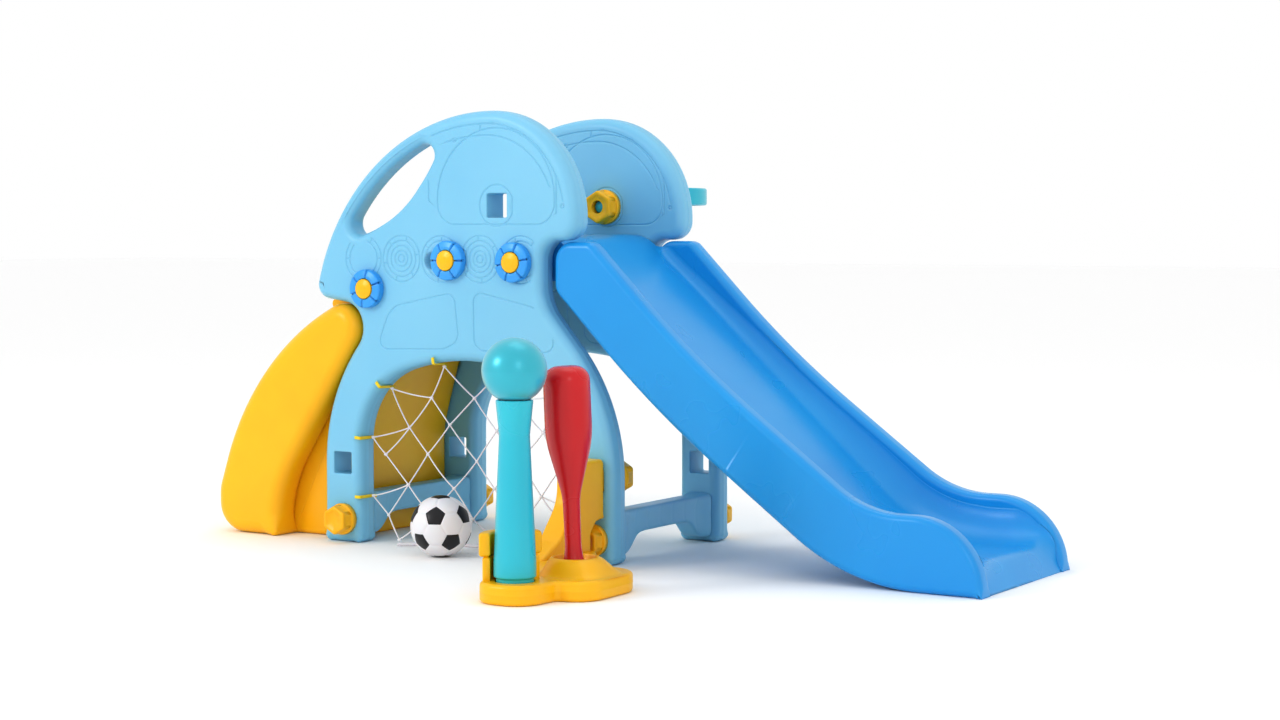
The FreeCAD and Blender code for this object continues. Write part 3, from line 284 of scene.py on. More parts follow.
def flat_face(loops, grooves):
    """Triangles of a flat face bounded by loops, the first its outline and the rest its holes, cut
    along engraved lines. Returns points, depths and triangles.

    The depth at a point is deep * (1 + cos(pi * d / half width)) / 2, where d is its distance to
    the nearest engraved line, so a groove is a shallow round valley."""
    half = GROOVE_WIDE / 2
    points = list(loops)
    edges, base = [], 0
    for loop in loops:
        index = np.arange(len(loop))
        edges.append(np.stack([index, (index + 1) % len(loop)], 1) + base)
        base += len(loop)
    rim_starts = np.concatenate(loops)
    rim_ends = np.concatenate([np.roll(loop, -1, 0) for loop in loops])
    starts, ends = [], []
    for line in grooves:
        clear = distance_to(line, rim_starts, rim_ends) > 2.2 * half
        clear &= inside(line, loops[0])
        side = line_normal(line)
        link = clear[:-1] & clear[1:]
        starts.append(line[:-1][link])
        ends.append(line[1:][link])
        index = np.flatnonzero(link)
        for offset in (-1.5 * half, -half, -0.45 * half, 0.0, 0.45 * half, half, 1.5 * half):
            points.append(line + side * offset)
            edges.append(np.stack([index, index + 1], 1) + base)
            base += len(line)
    points, edges = np.concatenate(points), np.concatenate(edges)
    used = np.unique(edges)
    renumber = np.full(len(points), -1)
    renumber[used] = np.arange(len(used))
    flat = [Vector(p) for p in points[used]]
    made = delaunay_2d_cdt(flat, renumber[edges].tolist(), [], 0, 1e-6)
    spots = np.array([v[:] for v in made[0]])
    triangles = np.array(made[2])
    middle = spots[triangles].mean(1)
    within = inside(middle, loops[0])
    for hole in loops[1:]:
        within &= ~inside(middle, hole)
    depth = np.zeros(len(spots))
    if starts:
        gap = distance_to(spots, np.concatenate(starts), np.concatenate(ends))
        depth = np.where(gap < half, GROOVE_DEEP * (1 + np.cos(np.pi * gap / half)) / 2, 0)
    return spots, depth, triangles[within]


def slab(outline, thick, radius, holes=(), hole_radii=(), grooves=(), pockets=(), seam=0.0):
    """A plate with rounded edges: points (across, up, depth) and faces, depth 0 at its front face.

    The rim is a grid: at each outline point the section is a quarter circle of that point's edge
    radius, the side wall, and a second quarter circle. Holes have rims of their own, and the two
    faces between the rims are flat. A seam is a fine raised line round the middle of the rim."""
    steps = np.linspace(0, np.pi / 2, 8)
    points, faces, base = [], [], 0
    front_loops = []
    rims = [(outline, edge_radii(outline, radius), 1.0)]
    rims += [(hole, np.broadcast_to(r, len(hole)), -1.0) for hole, r in zip(holes, hole_radii)]
    for loop, radii, sign in rims:
        normal = inward(loop) * sign
        sunk = seam if sign > 0 else 0.0
        insets = [radii * (1 - np.sin(a)) + sunk * (a > 0.1) for a in steps]
        depths = [radii * (1 - np.cos(a)) for a in steps]
        insets.insert(0, radii + FLAT_MARGIN)
        depths.insert(0, 0 * radii)
        rows = list(zip(insets, depths))
        seam_rows = []
        if sunk:
            seam_rows = [(inset + 0 * radii, thick / 2 + off + 0 * radii)
                         for inset, off in ((sunk, -SEAM_HALF), (0, 0), (sunk, SEAM_HALF))]
        rows += seam_rows + [(inset, thick - depth) for inset, depth in reversed(rows)]
        ring = [np.column_stack([loop + normal * inset[:, None], depth]) for inset, depth in rows]
        front_loops.append(loop + normal * insets[0][:, None])
        points += ring
        faces += grid_faces(len(ring), len(loop), True, base)
        base += len(ring) * len(loop)
    for pocket, deep in pockets:
        floor_ring = np.column_stack([pocket, np.full(len(pocket), deep)])
        rim_ring = np.column_stack([pocket, np.zeros(len(pocket))])
        points += [rim_ring, floor_ring]
        faces += grid_faces(2, len(pocket), True, base)
        faces.append(np.arange(len(pocket)) + base + len(pocket))
        base += 2 * len(pocket)
    for at_rear in (False, True):
        loops = front_loops + ([] if at_rear else [pocket for pocket, _ in pockets])
        spots, depth, triangles = flat_face(loops, grooves)
        depth = thick - depth if at_rear else depth
        points.append(np.column_stack([spots, depth]))
        faces += (triangles + base).tolist()
        base += len(spots)
    return np.concatenate(points), faces


def upright(shape, y):
    """Stands a plate of (across, up, depth) points with its front face at y."""
    points, faces = shape
    return np.column_stack([points[:, 0] + LEG_X, points[:, 2] + y, points[:, 1]]), faces


def mix_colour(nodes, links, share, first, second):
    """A Mix node between two colours by a share."""
    mix = nodes.new("ShaderNodeMix")
    mix.data_type = "RGBA"
    mix.inputs["A"].default_value = (*first, 1)
    mix.inputs["B"].default_value = (*second, 1)
    links.new(share, mix.inputs["Factor"])
    return mix.outputs["Result"]


def moulded(name, colour, deep, rough=0.38, coat=0.0, peel=0.10, grain=900.0, wear=0.35):
    """Moulded polyethylene: a colour that drifts slightly towards a deeper one, a fine orange-peel
    grain as bump, cloudy roughness with a few rubbed streaks, and some light passing through."""
    paint = bpy.data.materials.new(name)
    paint.use_nodes = True
    nodes, links = paint.node_tree.nodes, paint.node_tree.links
    shader = nodes["Principled BSDF"]
    where = nodes.new("ShaderNodeTexCoord")

    def noise(scale, detail, stretch=(1, 1, 1)):
        mapping = nodes.new("ShaderNodeMapping")
        mapping.inputs["Scale"].default_value = stretch
        links.new(where.outputs["Object"], mapping.inputs["Vector"])
        cloud = nodes.new("ShaderNodeTexNoise")
        cloud.inputs["Scale"].default_value = scale
        cloud.inputs["Detail"].default_value = detail
        links.new(mapping.outputs["Vector"], cloud.inputs["Vector"])
        return cloud.outputs["Fac"]

    def ramp(value, low, high, first, second):
        band = nodes.new("ShaderNodeMapRange")
        band.inputs["From Min"].default_value = low
        band.inputs["From Max"].default_value = high
        band.inputs["To Min"].default_value = first
        band.inputs["To Max"].default_value = second
        links.new(value, band.inputs["Value"])
        return band.outputs["Result"]

    drift = noise(3.2, 3.0)
    links.new(mix_colour(nodes, links, ramp(drift, 0.35, 0.75, 0.0, 1.0), colour, deep),
              shader.inputs["Base Color"])
    cloudy = noise(7.0, 2.0)
    streaks = noise(9.0, 1.0, (1.0, 1.0, 5.0))
    rubbed = nodes.new("ShaderNodeMath")
    rubbed.operation = "MULTIPLY"
    links.new(ramp(streaks, 0.55, 0.80, 0.0, wear * 0.15), rubbed.inputs[0])
    links.new(ramp(cloudy, 0.5, 0.7, 0.0, 1.0), rubbed.inputs[1])
    total = nodes.new("ShaderNodeMath")
    total.operation = "ADD"
    links.new(ramp(cloudy, 0.3, 0.7, rough - 0.04, rough + 0.05), total.inputs[0])
    links.new(rubbed.outputs["Value"], total.inputs[1])
    links.new(total.outputs["Value"], shader.inputs["Roughness"])
    bump = nodes.new("ShaderNodeBump")
    bump.inputs["Strength"].default_value = peel
    bump.inputs["Distance"].default_value = 0.0006
    links.new(noise(grain, 2.0), bump.inputs["Height"])
    links.new(bump.outputs["Normal"], shader.inputs["Normal"])
    shader.inputs["Subsurface Weight"].default_value = 0.06
    shader.inputs["Subsurface Scale"].default_value = 0.012
    shader.inputs["Coat Weight"].default_value = coat
    shader.inputs["Coat Roughness"].default_value = 0.22
    shader.inputs["IOR"].default_value = 1.49
    return paint


LEG_LEFT, LEG_RIGHT, LEG_STRAIGHT, LEG_BOW = -0.015, 0.830, 0.195, 0.460
LEAN_LADDER, LEAN_SLIDE, FOOT_ROUND = 37, 41, 0.018
ARCH_MIDDLE, ARCH_WIDE, ARCH_HIGH, ARCH_CROWN, ARCH_CORNER = 0.411, 0.620, 0.453, 0.600, 0.190
DOME_MIDDLE, DOME_ROUND, DOME_STEEP, BROW_ROUND = 0.480, 0.530, 76, 0.250
BUMPER_LOW, BUMPER_ROUND, NOTCH_HIGH, CHIN_HIGH, NECK_ALONG = 0.600, 0.035, 0.572, 0.738, 0.632
GRIP_BAR, GRIP_CENTRE, GRIP_ROUND, GRIP_END = 0.036, (0.045, 1.045), 0.300, 0.028


def slope_meet(first, first_slope, second, second_slope):
    """The point where two lines cross, each given by a point and a slope in degrees."""
    one, two = math.radians(first_slope), math.radians(second_slope)
    gap = (second[0] - first[0], second[1] - first[1])
    reach = (gap[0] * math.sin(two) - gap[1] * math.cos(two)) / math.sin(two - one)
    return first[0] + reach * math.cos(one), first[1] + reach * math.sin(one)


def arch_corners():
    """The three-centred arch, from its slide-side foot to its ladder-side foot: corner arcs tangent
    to the upright jambs and, from inside, to the crown arc."""
    half = ARCH_WIDE / 2
    meet_angle = math.asin((half - ARCH_CORNER) / (ARCH_CROWN - ARCH_CORNER))
    peak = ARCH_HIGH + ARCH_CROWN * (1 / math.cos(meet_angle) - 1)
    spring = peak - half * math.tan(meet_angle)
    right, left = ARCH_MIDDLE + half, ARCH_MIDDLE - half
    return [(right, 0, FOOT_ROUND), (right, spring, ARCH_CORNER), (ARCH_MIDDLE, peak, ARCH_CROWN),
            (left, spring, ARCH_CORNER), (left, 0, FOOT_ROUND)]


def panel_corners():
    """Legs that rise upright and bow inwards, a bumper and a chin, and a dome of two arcs that meet
    level at its top."""
    knee_ladder = (LEG_LEFT, LEG_STRAIGHT + LEG_BOW * math.tan(math.radians(LEAN_LADDER) / 2))
    knee_slide = (LEG_RIGHT, LEG_STRAIGHT + LEG_BOW * math.tan(math.radians(LEAN_SLIDE) / 2))
    notch = slope_meet(knee_ladder, 90 - LEAN_LADDER, (0, NOTCH_HIGH), 0)
    shoulder = (DOME_MIDDLE - DOME_ROUND * math.tan(math.radians(DOME_STEEP) / 2), HIGH)
    bumper = slope_meet(shoulder, DOME_STEEP, (0, BUMPER_LOW), 0)
    brow = DOME_MIDDLE + BROW_ROUND
    neck = slope_meet(knee_slide, 90 + LEAN_SLIDE, (NECK_ALONG, 0), 90)
    chin_round = 0.46 * (brow - NECK_ALONG)
    return [(LEG_LEFT, 0, FOOT_ROUND), (*knee_ladder, LEG_BOW), (*notch, 0.062),
            (*bumper, BUMPER_ROUND), (*shoulder, DOME_ROUND), (brow, HIGH, BROW_ROUND),
            (brow, CHIN_HIGH, chin_round), (NECK_ALONG, CHIN_HIGH, chin_round), (*neck, 0.120),
            (*knee_slide, LEG_BOW), (LEG_RIGHT, 0, FOOT_ROUND)] + arch_corners()


def hand_hold(step=0.005):
    """The hole between two circles, one concentric with the dome and one bulging up from below;
    each end is a smaller circle that touches both from inside."""
    dome, inner = np.array([DOME_MIDDLE, HIGH - DOME_ROUND]), np.array(GRIP_CENTRE)
    outer_radius = DOME_ROUND - GRIP_BAR
    apart = np.hypot(*(inner - dome))
    way = (inner - dome) / apart
    across = np.array([way[1], -way[0]])
    near, far = outer_radius - GRIP_END, GRIP_ROUND - GRIP_END
    along = (near ** 2 - far ** 2 + apart ** 2) / (2 * apart)
    aside = math.sqrt(near ** 2 - along ** 2)
    ends = [dome + way * along + across * side * aside for side in (-1, 1)]

    def arc(centre, radius, start, end):
        first = math.atan2(*(start - centre)[::-1])
        sweep = (math.atan2(*(end - centre)[::-1]) - first + math.pi) % (2 * math.pi) - math.pi
        angle = first + sweep * np.linspace(0, 1, max(6, int(abs(sweep) * radius / step)))
        return centre + radius * np.stack([np.cos(angle), np.sin(angle)], 1)

    on_outer = [dome + (end - dome) / near * outer_radius for end in ends]
    on_inner = [inner + (end - inner) / far * GRIP_ROUND for end in ends]
    tips = [end + across * side * GRIP_END for end, side in zip(ends, (-1, 1))]
    return anticlockwise(np.concatenate([
        arc(dome, outer_radius, on_outer[0], on_outer[1]), arc(ends[1], GRIP_END, on_outer[1], tips[1]),
        arc(ends[1], GRIP_END, tips[1], on_inner[1]), arc(inner, GRIP_ROUND, on_inner[1], on_inner[0]),
        arc(ends[0], GRIP_END, on_inner[0], tips[0]), arc(ends[0], GRIP_END, tips[0], on_outer[0])]))


PANEL_THICK = panel_top.y - panel_low.y
SOCKET = (0.491, 0.7875)
LEG_SOCKETS = ((0.045, 0.1875), (0.750, 0.1875))
RECESS, RECESS_RADIUS, RECESS_DEEP = (0.309, 0.663), 0.0205, 0.016


def circle(centre, radius, step=0.0028, start=0.0, sweep=2 * math.pi):
    """An open arc of points about a centre in shares, from an angle and through a sweep."""
    count = max(8, int(abs(sweep) * radius / step))
    angle = start + sweep * np.arange(count + 1) / count
    middle = np.array(centre) * HIGH
    return middle + radius * np.stack([np.cos(angle), np.sin(angle)], 1)


def square_loop(centre, side, rounding=0.004):
    """A small square hole with rounded corners, centred at shares."""
    half = side / 2 / HIGH
    x, z = centre
    corners = [(x - half, z - half), (x + half, z - half), (x + half, z + half), (x - half, z + half)]
    return rounded_loop([(a, b, rounding / HIGH) for a, b in corners], 0.004)


def closed_line(corners, step=0.004):
    """A closed rounded loop as a line that ends where it starts."""
    loop = rounded_loop(corners, step)
    return np.concatenate([loop, loop[:1]])


def radial(centre, low, high, angle):
    """A short straight line from one radius to another at an angle."""
    share = np.linspace(low, high, 4)[:, None]
    way = np.array([math.cos(angle), math.sin(angle)])
    return np.array(centre) * HIGH + share * way


def straight(start, end, step=0.006):
    """A straight line of points a step apart between two places in shares."""
    start, end = np.array(start) * HIGH, np.array(end) * HIGH
    count = max(2, int(np.hypot(*(end - start)) / step))
    return start + (end - start) * np.linspace(0, 1, count + 1)[:, None]


def engraving(outline):
    """Every engraved line of a panel's face: five clock-like dials in a row, two lobes under
    them, the visor with its frame and rivets, and a line beside the hand hold."""
    lines = []
    for place in range(5):
        centre = (0.112 + 0.111 * place, 0.667)
        target = place % 2 == 1
        radii = (0.009, 0.019, 0.031, 0.043, 0.055) if target else (0.042, 0.054)
        lines += [circle(centre, radius) for radius in radii]
        for tick in range(6):
            angle = math.radians(60 * tick + 12 * place)
            lines.append(radial(centre, radii[-2] + 0.002, radii[-1] - 0.002, angle))
    lines.append(closed_line([(0.150, 0.458, 0.020), (0.190, 0.556, 0.060), (0.372, 0.592, 0.022),
                              (0.385, 0.480, 0.030), (0.340, 0.462, 0.060)]))
    lines.append(closed_line([(0.428, 0.462, 0.030), (0.426, 0.595, 0.020), (0.600, 0.560, 0.060),
                              (0.655, 0.470, 0.020), (0.600, 0.458, 0.060)]))
    lines.append(closed_line([(0.330, 0.745, 0.060), (0.318, 0.955, 0.200), (0.655, 0.965, 0.200),
                              (0.645, 0.745, 0.060)]))
    normal = inward(outline)
    up = outline[:, 1] / HIGH
    along = outline[:, 0] / HIGH
    for inset, above, beyond in ((0.031, 0.800, 0.300), (0.058, 0.850, 0.340)):
        lines.append((outline + normal * inset)[(up > above) & (along > beyond)])
    for x, low, high in ((0.447, 0.957, 0.985), (0.535, 0.957, 0.980), (0.652, 0.770, 0.880),
                         (0.302, 0.800, 0.865)):
        lines.append(straight((x, low), (x, high)))
    lines.append(circle(SOCKET, 0.048, start=math.radians(20), sweep=math.radians(320)))
    for rivet in ((0.375, 0.935), (0.560, 0.945), (0.668, 0.785), (0.480, 0.975)):
        lines.append(circle(rivet, 0.0042, 0.0016))
    return lines


panel_outline = rounded_loop(panel_corners(), 0.006, 1.0)
hold = hand_hold()
to_rim = distance_to(hold, panel_outline, np.roll(panel_outline, -1, 0))
hold_radii = 0.004 + 0.016 * np.clip((0.125 - to_rim) / 0.045, 0, 1)
panel_holes = [hold, square_loop(SOCKET, 0.056)] + [square_loop(c, 0.053) for c in LEG_SOCKETS]
panel_hole_radii = [hold_radii, 0.003, 0.003, 0.003]
recess = circle(RECESS, RECESS_RADIUS)[:-1]
panel_shape = slab(panel_outline, PANEL_THICK, 0.022, panel_holes, panel_hole_radii,
                   engraving(panel_outline), [(recess, RECESS_DEEP)], 0.0004)
light_blue = moulded("light_blue_plastic", (0.250, 0.570, 0.760), (0.222, 0.540, 0.740), 0.40, coat=0.06)
for node in ("front_panel", "rear_panel"):
    standing = upright(panel_shape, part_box(node)[0].y)
    solid_mesh(node + "_shell", standing, light_blue, "frame", node)


# ---- slide ------------------------------------------------------------------------------------
# One glossy bright blue blow moulding: two rounded rails that rise again at the foot, a bed that
# curls up into them, a lip that slopes to the floor, and a tongue between the panels that is the
# platform. The bed is hollow underneath, between the rails.
RAIL_BACK, RAIL_TOP, RAIL_LEVEL, RAIL_DEEP = 0.655, 0.735, 0.755, 0.150
CHUTE_STEEP, CHUTE_SHALLOW, CHUTE_BEND, CHUTE_FOOT = 45, 36, 2.400, 1.444
TOE_REACH, TOE_HIGH = 1.721, 0.163


def rail_corners():
    """Round the rails' side view: up the back, along the head, down the two slopes, along the
    run-out, round the toe, along the floor, and back up a line RAIL_DEEP below both slopes."""
    crest_end, run_out = (RAIL_LEVEL, RAIL_TOP), (CHUTE_FOOT, TOE_HIGH)

    def below(point, slope):
        angle = math.radians(slope)
        return point[0] - RAIL_DEEP * math.sin(angle), point[1] - RAIL_DEEP * math.cos(angle)

    under_steep, under_shallow = below(crest_end, CHUTE_STEEP), below(run_out, CHUTE_SHALLOW)
    bend = slope_meet(crest_end, -CHUTE_STEEP, run_out, -CHUTE_SHALLOW)
    under_bend = slope_meet(under_steep, -CHUTE_STEEP, under_shallow, -CHUTE_SHALLOW)
    nose = slope_meet(under_steep, -CHUTE_STEEP, (RAIL_BACK, 0), 90)
    heel = slope_meet(under_shallow, -CHUTE_SHALLOW, (0, 0), 0)
    return [(*nose, 0.035), (RAIL_BACK, RAIL_TOP, 0.045), (*crest_end, 0.030), (*bend, CHUTE_BEND),
            (*run_out, 0.260), (TOE_REACH, TOE_HIGH, TOE_HIGH - 0.003), (TOE_REACH, 0, 0),
            (*heel, 0.500), (*under_bend, CHUTE_BEND + RAIL_DEEP)]


BED_TOP = [
    (0.235, 0.667, 0), (0.235, 0.715, 0.012), (0.600, 0.723, 0.100), (1.372, 0.056, 0.350),
    (1.622, 0.061, 0.030), (1.6530, 0.0005, 0),
]
BED_UNDER = [
    (0.235, 0.667, 0), (0.235, 0.619, 0.012), (0.670, 0.619, 0.020), (1.325, 0.051, 0.200),
    (1.600, 0.030, 0.005), (1.606, 0.0005, 0.003), (1.6530, 0.0005, 0),
]
RAIL_WIDE, RAIL_EDGE = 0.0495, 0.015


def distances(line):
    """How far along a line each of its points is."""
    return np.concatenate([[0], np.cumsum(np.linalg.norm(np.diff(line, axis=0), axis=1))])


def evenly(line, count):
    """A line of points again, at that many evenly spaced places along it."""
    place = distances(line)
    even = np.linspace(0, place[-1], count)
    return np.stack([np.interp(even, place, part) for part in line.T], 1)


def rounded_line(corners, count, scale=HIGH):
    """An open line round corners given as (along, up, rounding) shares, at evenly spaced points."""
    arcs = corner_arcs(np.asarray(corners, float) * scale, False)
    return evenly(np.concatenate([arc_points(arc, 0.002) for arc in arcs]), count)


def capped_faces(rings, around):
    """The faces of a grid of rings, closed by a flat end at its first and last ring."""
    end = np.arange(around)
    return grid_faces(rings, around) + [end, end + (rings - 1) * around]


def slide_bed(half_wide):
    """The bed and platform as a closed strip, a grid of stations along by points across.

    Across, the top lies on the bed's line and curls up at both sides by
    rise * (1 - sqrt(1 - t^2)), t being 0 to 1 over the curl's width. The rise reaches to just under
    the rail's edge, so it follows the rails down to nothing at the lip. The underside is flat."""
    stations = 260
    top = rounded_line(BED_TOP, stations)
    under = rounded_line(BED_UNDER, stations)
    normal = line_normal(top)
    rails = rounded_loop(rail_corners(), 0.006, 1.0)
    reach = np.linspace(0.001, 0.20, 100)
    probe = top[:, None] + normal[:, None] * reach[None, :, None]
    held = inside(probe.reshape(-1, 2), rails).reshape(stations, -1)
    depth = reach[0] + (reach[-1] - reach[0]) * np.cumprod(held, 1).sum(1) / len(reach)
    depth = np.where(held[:, 0], depth, 0)
    smooth = np.ones(9) / 9
    depth = np.convolve(np.pad(depth, 4, mode="edge"), smooth, "valid")
    down = np.clip((top[:, 0] / HIGH - 0.70) / 0.75, 0, 1)
    rise = np.clip(depth - RAIL_EDGE * 0.8, 0, 0.030 + 0.050 * down)
    wide = 0.028 + 0.062 * down
    curl = np.sin(np.linspace(0, np.pi / 2, 14))
    rows = []
    for sign in (-1, 1):
        side = []
        for t in curl:
            y = sign * (half_wide - wide + wide * t)
            lift = rise * (1 - np.sqrt(1 - t * t))
            side.append((y, lift))
        rows.append(side if sign > 0 else side[::-1])
    middle = [(share * (half_wide - wide), 0 * wide) for share in np.linspace(-1, 1, 9)[1:-1]]
    loop = rows[0] + middle + rows[1]
    ring = []
    for y, lift in loop:
        lifted = top + normal * lift[:, None]
        ring.append(np.column_stack([lifted[:, 0], y + 0 * lift, lifted[:, 1]]))
    bottom = [np.column_stack([under[:, 0], half_wide * share + 0 * wide, under[:, 1]])
              for share in np.linspace(1, -1, 9)]
    ring = np.stack(ring + bottom, 1)
    return ring.reshape(-1, 3), capped_faces(stations, ring.shape[1])


def together(*shapes):
    """Several (points, faces) shapes as one."""
    points, faces, base = [], [], 0
    for some_points, some_faces in shapes:
        points.append(some_points)
        faces += [[int(i) + base for i in face] for face in some_faces]
        base += len(some_points)
    return np.concatenate(points), faces


def moved(shape, by):
    """A shape carried by an offset."""
    return shape[0] + np.asarray(by), shape[1]


slide_low, slide_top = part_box("slide")
slide_middle = (slide_low.y + slide_top.y) / 2
rail = slab(rounded_loop(rail_corners(), 0.006, 1.0), RAIL_WIDE, RAIL_EDGE)
near_rail, far_rail = upright(rail, slide_low.y), upright(rail, slide_top.y - RAIL_WIDE)
bed = slide_bed((slide_top.y - slide_low.y) / 2 - RAIL_WIDE + 0.0004)
bed = moved(bed, (LEG_X, slide_middle, 0))
bright_blue = moulded("bright_blue_plastic", (0.014, 0.360, 0.760), (0.012, 0.320, 0.720), 0.30,
                      coat=0.25, peel=0.05)
solid_mesh("slide_shell", together(near_rail, far_rail, bed), bright_blue, "frame", "slide")


# ---- ladder -----------------------------------------------------------------------------------
# A yellow blow moulding: two thick rounded stringers, closed steps between them, a narrower body
# that reaches in between the panels, and a landing held there by the lowest dials.
LADDER_BACK, LADDER_FRONT, LADDER_PITCH = -0.161, -0.360, 57
LADDER_HEAD, HEAD_ROUND = np.array([0.037, 0.525]), 0.058
LADDER_BOW, BOW_TOP, BOW_FOOT, SHIN_HIGH = 0.670, 26, 71, 0.113
BODY_BACK, BODY_HIGH, BODY_LAP = 0.012, 0.250, 0.014
NOSINGS = (-0.325, -0.252, -0.155, -0.045)
TREAD_RISE, TREAD_DEEP = 0.148 / HIGH, 0.099 / HIGH
STAIR_WIDE, STEPS_WIDE, BODY_WIDE, STRINGER_EDGE = 0.381, 0.398, 0.3965, 0.034


def stringer_corners():
    """Round a stringer's side view: up the back, upright and then at its pitch, over the round head
    that both the pitch and the bow's upper end touch, down the bowed front and round the foot."""

    def on_head(slope, side):
        angle = math.radians(slope)
        return LADDER_HEAD + HEAD_ROUND * side * np.array([math.sin(angle), -math.cos(angle)])

    behind, above = on_head(LADDER_PITCH, 1), on_head(BOW_TOP, -1)
    tip = slope_meet(behind, LADDER_PITCH, above, BOW_TOP)
    knee = slope_meet((LADDER_BACK, 0), 90, behind, LADDER_PITCH)
    shin = (LADDER_FRONT, SHIN_HIGH)
    bow = slope_meet(above, BOW_TOP, shin, BOW_FOOT)
    return [(LADDER_BACK, 0, 0.012), (*knee, 0.330), (*tip, HEAD_ROUND), (*bow, LADDER_BOW),
            (*shin, 0.100), (LADDER_FRONT, 0, 0.075)]


def stair_corners():
    """The steps' side view: each riser leans back under the next rounded nosing, then the landing,
    and back down inside the body."""
    corners = [(-0.165, 0.001, 0.002), (NOSINGS[0] + 0.035, 0.001, 0.002)]
    for step, nosing in enumerate(NOSINGS, start=1):
        top = step * TREAD_RISE
        corners.append((nosing + 0.013, top - 0.025, 0.010))
        corners.append((nosing, top, 0.011))
        corners.append((nosing + TREAD_DEEP, top, 0.014))
    return corners + [(0.056, 0.715, 0.014), (0.228, 0.715, 0.012), (0.228, 0.620, 0.012),
                      (0.105, 0.540, 0.020)]


def body_corners():
    """The body between the panels: its own back rises upright and leans to under the landing."""
    start = LADDER_BACK - BODY_LAP
    return [(start, 0.0005, 0), (BODY_BACK, 0.0005, 0.006), (BODY_BACK, BODY_HIGH, 0.300),
            (0.100, 0.559, 0), (0.060, 0.531, 0), (start, SHIN_HIGH, 0)]


ladder_low, ladder_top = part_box("ladder")
ladder_middle = (ladder_low.y + ladder_top.y) / 2
stringer_wide = (ladder_top.y - ladder_low.y - STAIR_WIDE) / 2
stringer = slab(rounded_loop(stringer_corners(), 0.006, 1.0), stringer_wide, STRINGER_EDGE)
near_stringer = upright(stringer, ladder_low.y)
far_stringer = upright(stringer, ladder_top.y - stringer_wide)
stairs = slab(rounded_loop(stair_corners(), 0.005), STEPS_WIDE, 0.0008)
stairs = upright(stairs, ladder_middle - STEPS_WIDE / 2)
body = slab(rounded_loop(body_corners(), 0.006, 1.0), BODY_WIDE, 0.012)
body = upright(body, ladder_middle - BODY_WIDE / 2)
yellow = moulded("yellow_plastic", (0.960, 0.560, 0.006), (0.930, 0.470, 0.004), 0.33, coat=0.10)
solid_mesh("ladder_shell", together(near_stringer, far_stringer, stairs, body), yellow, "frame",
           "ladder")


# ---- crossbars --------------------------------------------------------------------------------
# Two light blue moulded beams between the legs, arched underneath, hollow-cheeked at the sides and
# flared into a square foot at each end, where the leg knobs clamp them.
BAR_WIDE, BAR_FOOT_WIDE, BAR_ARCH, FLARE_REACH = 0.027, 0.0385, 0.046, 0.030
TICKS, TICK_DEEP = (-0.130, -0.075, -0.020, 0.035, 0.090, 0.145), 0.0013


def whole_turn(count):
    """That many evenly spaced angles round a full turn."""
    return np.linspace(0, 2 * np.pi, count + 1)[:-1]


def rounded_end(share):
    """A quarter circle's height, sqrt(1 - (1 - t)^2), at a share t from 0 to 1 and then level."""
    return np.sqrt(np.clip(1 - (1 - np.clip(share, 0, 1)) ** 2, 0, 1))


def crossbar(node):
    """A beam swept across between the panels: the section is a rounded square whose half width,
    top and foot are functions of how near it is to an end."""
    low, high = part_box(node)
    middle = (low + high) / 2
    half_long = (high.y - low.y) / 2
    steps = np.linspace(0, 1, 140)
    across = -half_long * np.cos(np.pi * steps)
    to_end = half_long - np.abs(across)
    flare = np.exp(-(to_end / FLARE_REACH) ** 2)
    half_wide = BAR_WIDE + (BAR_FOOT_WIDE - BAR_WIDE) * flare
    lift = 1 / (1 + np.exp(-(to_end - 0.062) / 0.011))
    foot = low.z + BAR_ARCH * lift
    head = high.z - 0.004 * (1 - flare)
    shrink = 1 - 0.10 * (1 - rounded_end(to_end / 0.007))
    angle = whole_turn(96)
    power = 2 / 6.5
    wide = np.sign(np.cos(angle)) * np.abs(np.cos(angle)) ** power
    tall = np.sign(np.sin(angle)) * np.abs(np.sin(angle)) ** power
    cheek = 1 - 0.07 * (1 - np.abs(tall)) ** 0.8
    x = (half_wide * shrink)[:, None] * (wide * cheek)[None]
    z = ((head + foot) / 2)[:, None] + ((head - foot) / 2 * shrink)[:, None] * tall[None]
    y = across[:, None] + 0 * x
    ticks = np.zeros_like(x)
    for place in TICKS:
        for edge, lean in ((1, 0.5), (-1, -0.5)):
            level = ((head + foot) / 2)[:, None] + edge * ((head - foot) / 2)[:, None] * 0.62
            near = (y - place - lean * (z - level)) / 0.0022
            ticks += np.exp(-near ** 2) * np.exp(-((z - level) / 0.011) ** 4)
    x -= np.sign(x) * TICK_DEEP * np.clip(ticks, 0, 1) * (np.abs(wide) > 0.9)
    points = np.stack([x + middle.x, y + middle.y, z], -1).reshape(-1, 3)
    return points, capped_faces(len(steps), len(angle))


for node in ("crossbar_ladder_side", "crossbar_slide_side"):
    solid_mesh(node + "_shell", crossbar(node), light_blue, "frame", node)


# ---- dials ------------------------------------------------------------------------------------
# Each fastening is a sky-blue grip ring with radial finger notches, clamped by a yellow domed bolt
# that passes through the panel into the slide's or ladder's tongue.
def round_axis(radius, angle, height):
    """Points at a radius, an angle and a height round the upright axis."""
    return np.stack([radius * np.cos(angle), radius * np.sin(angle), height], -1).reshape(-1, 3)


def turned(outline, around=96, scale=HIGH, count=160, bulge=None):
    """A closed surface of revolution: each outline point (radius, height) goes once round. bulge is
    a function of angle and height that multiplies the radius."""
    line = rounded_line(outline, count, scale)
    angle = whole_turn(around)
    radius = np.maximum(line[:, :1], 0) * np.ones((1, around))
    height = line[:, 1:] * np.ones((1, around))
    if bulge is not None:
        radius = radius * bulge(angle[None], height)
    return round_axis(radius, angle, height), grid_faces(len(line), around)


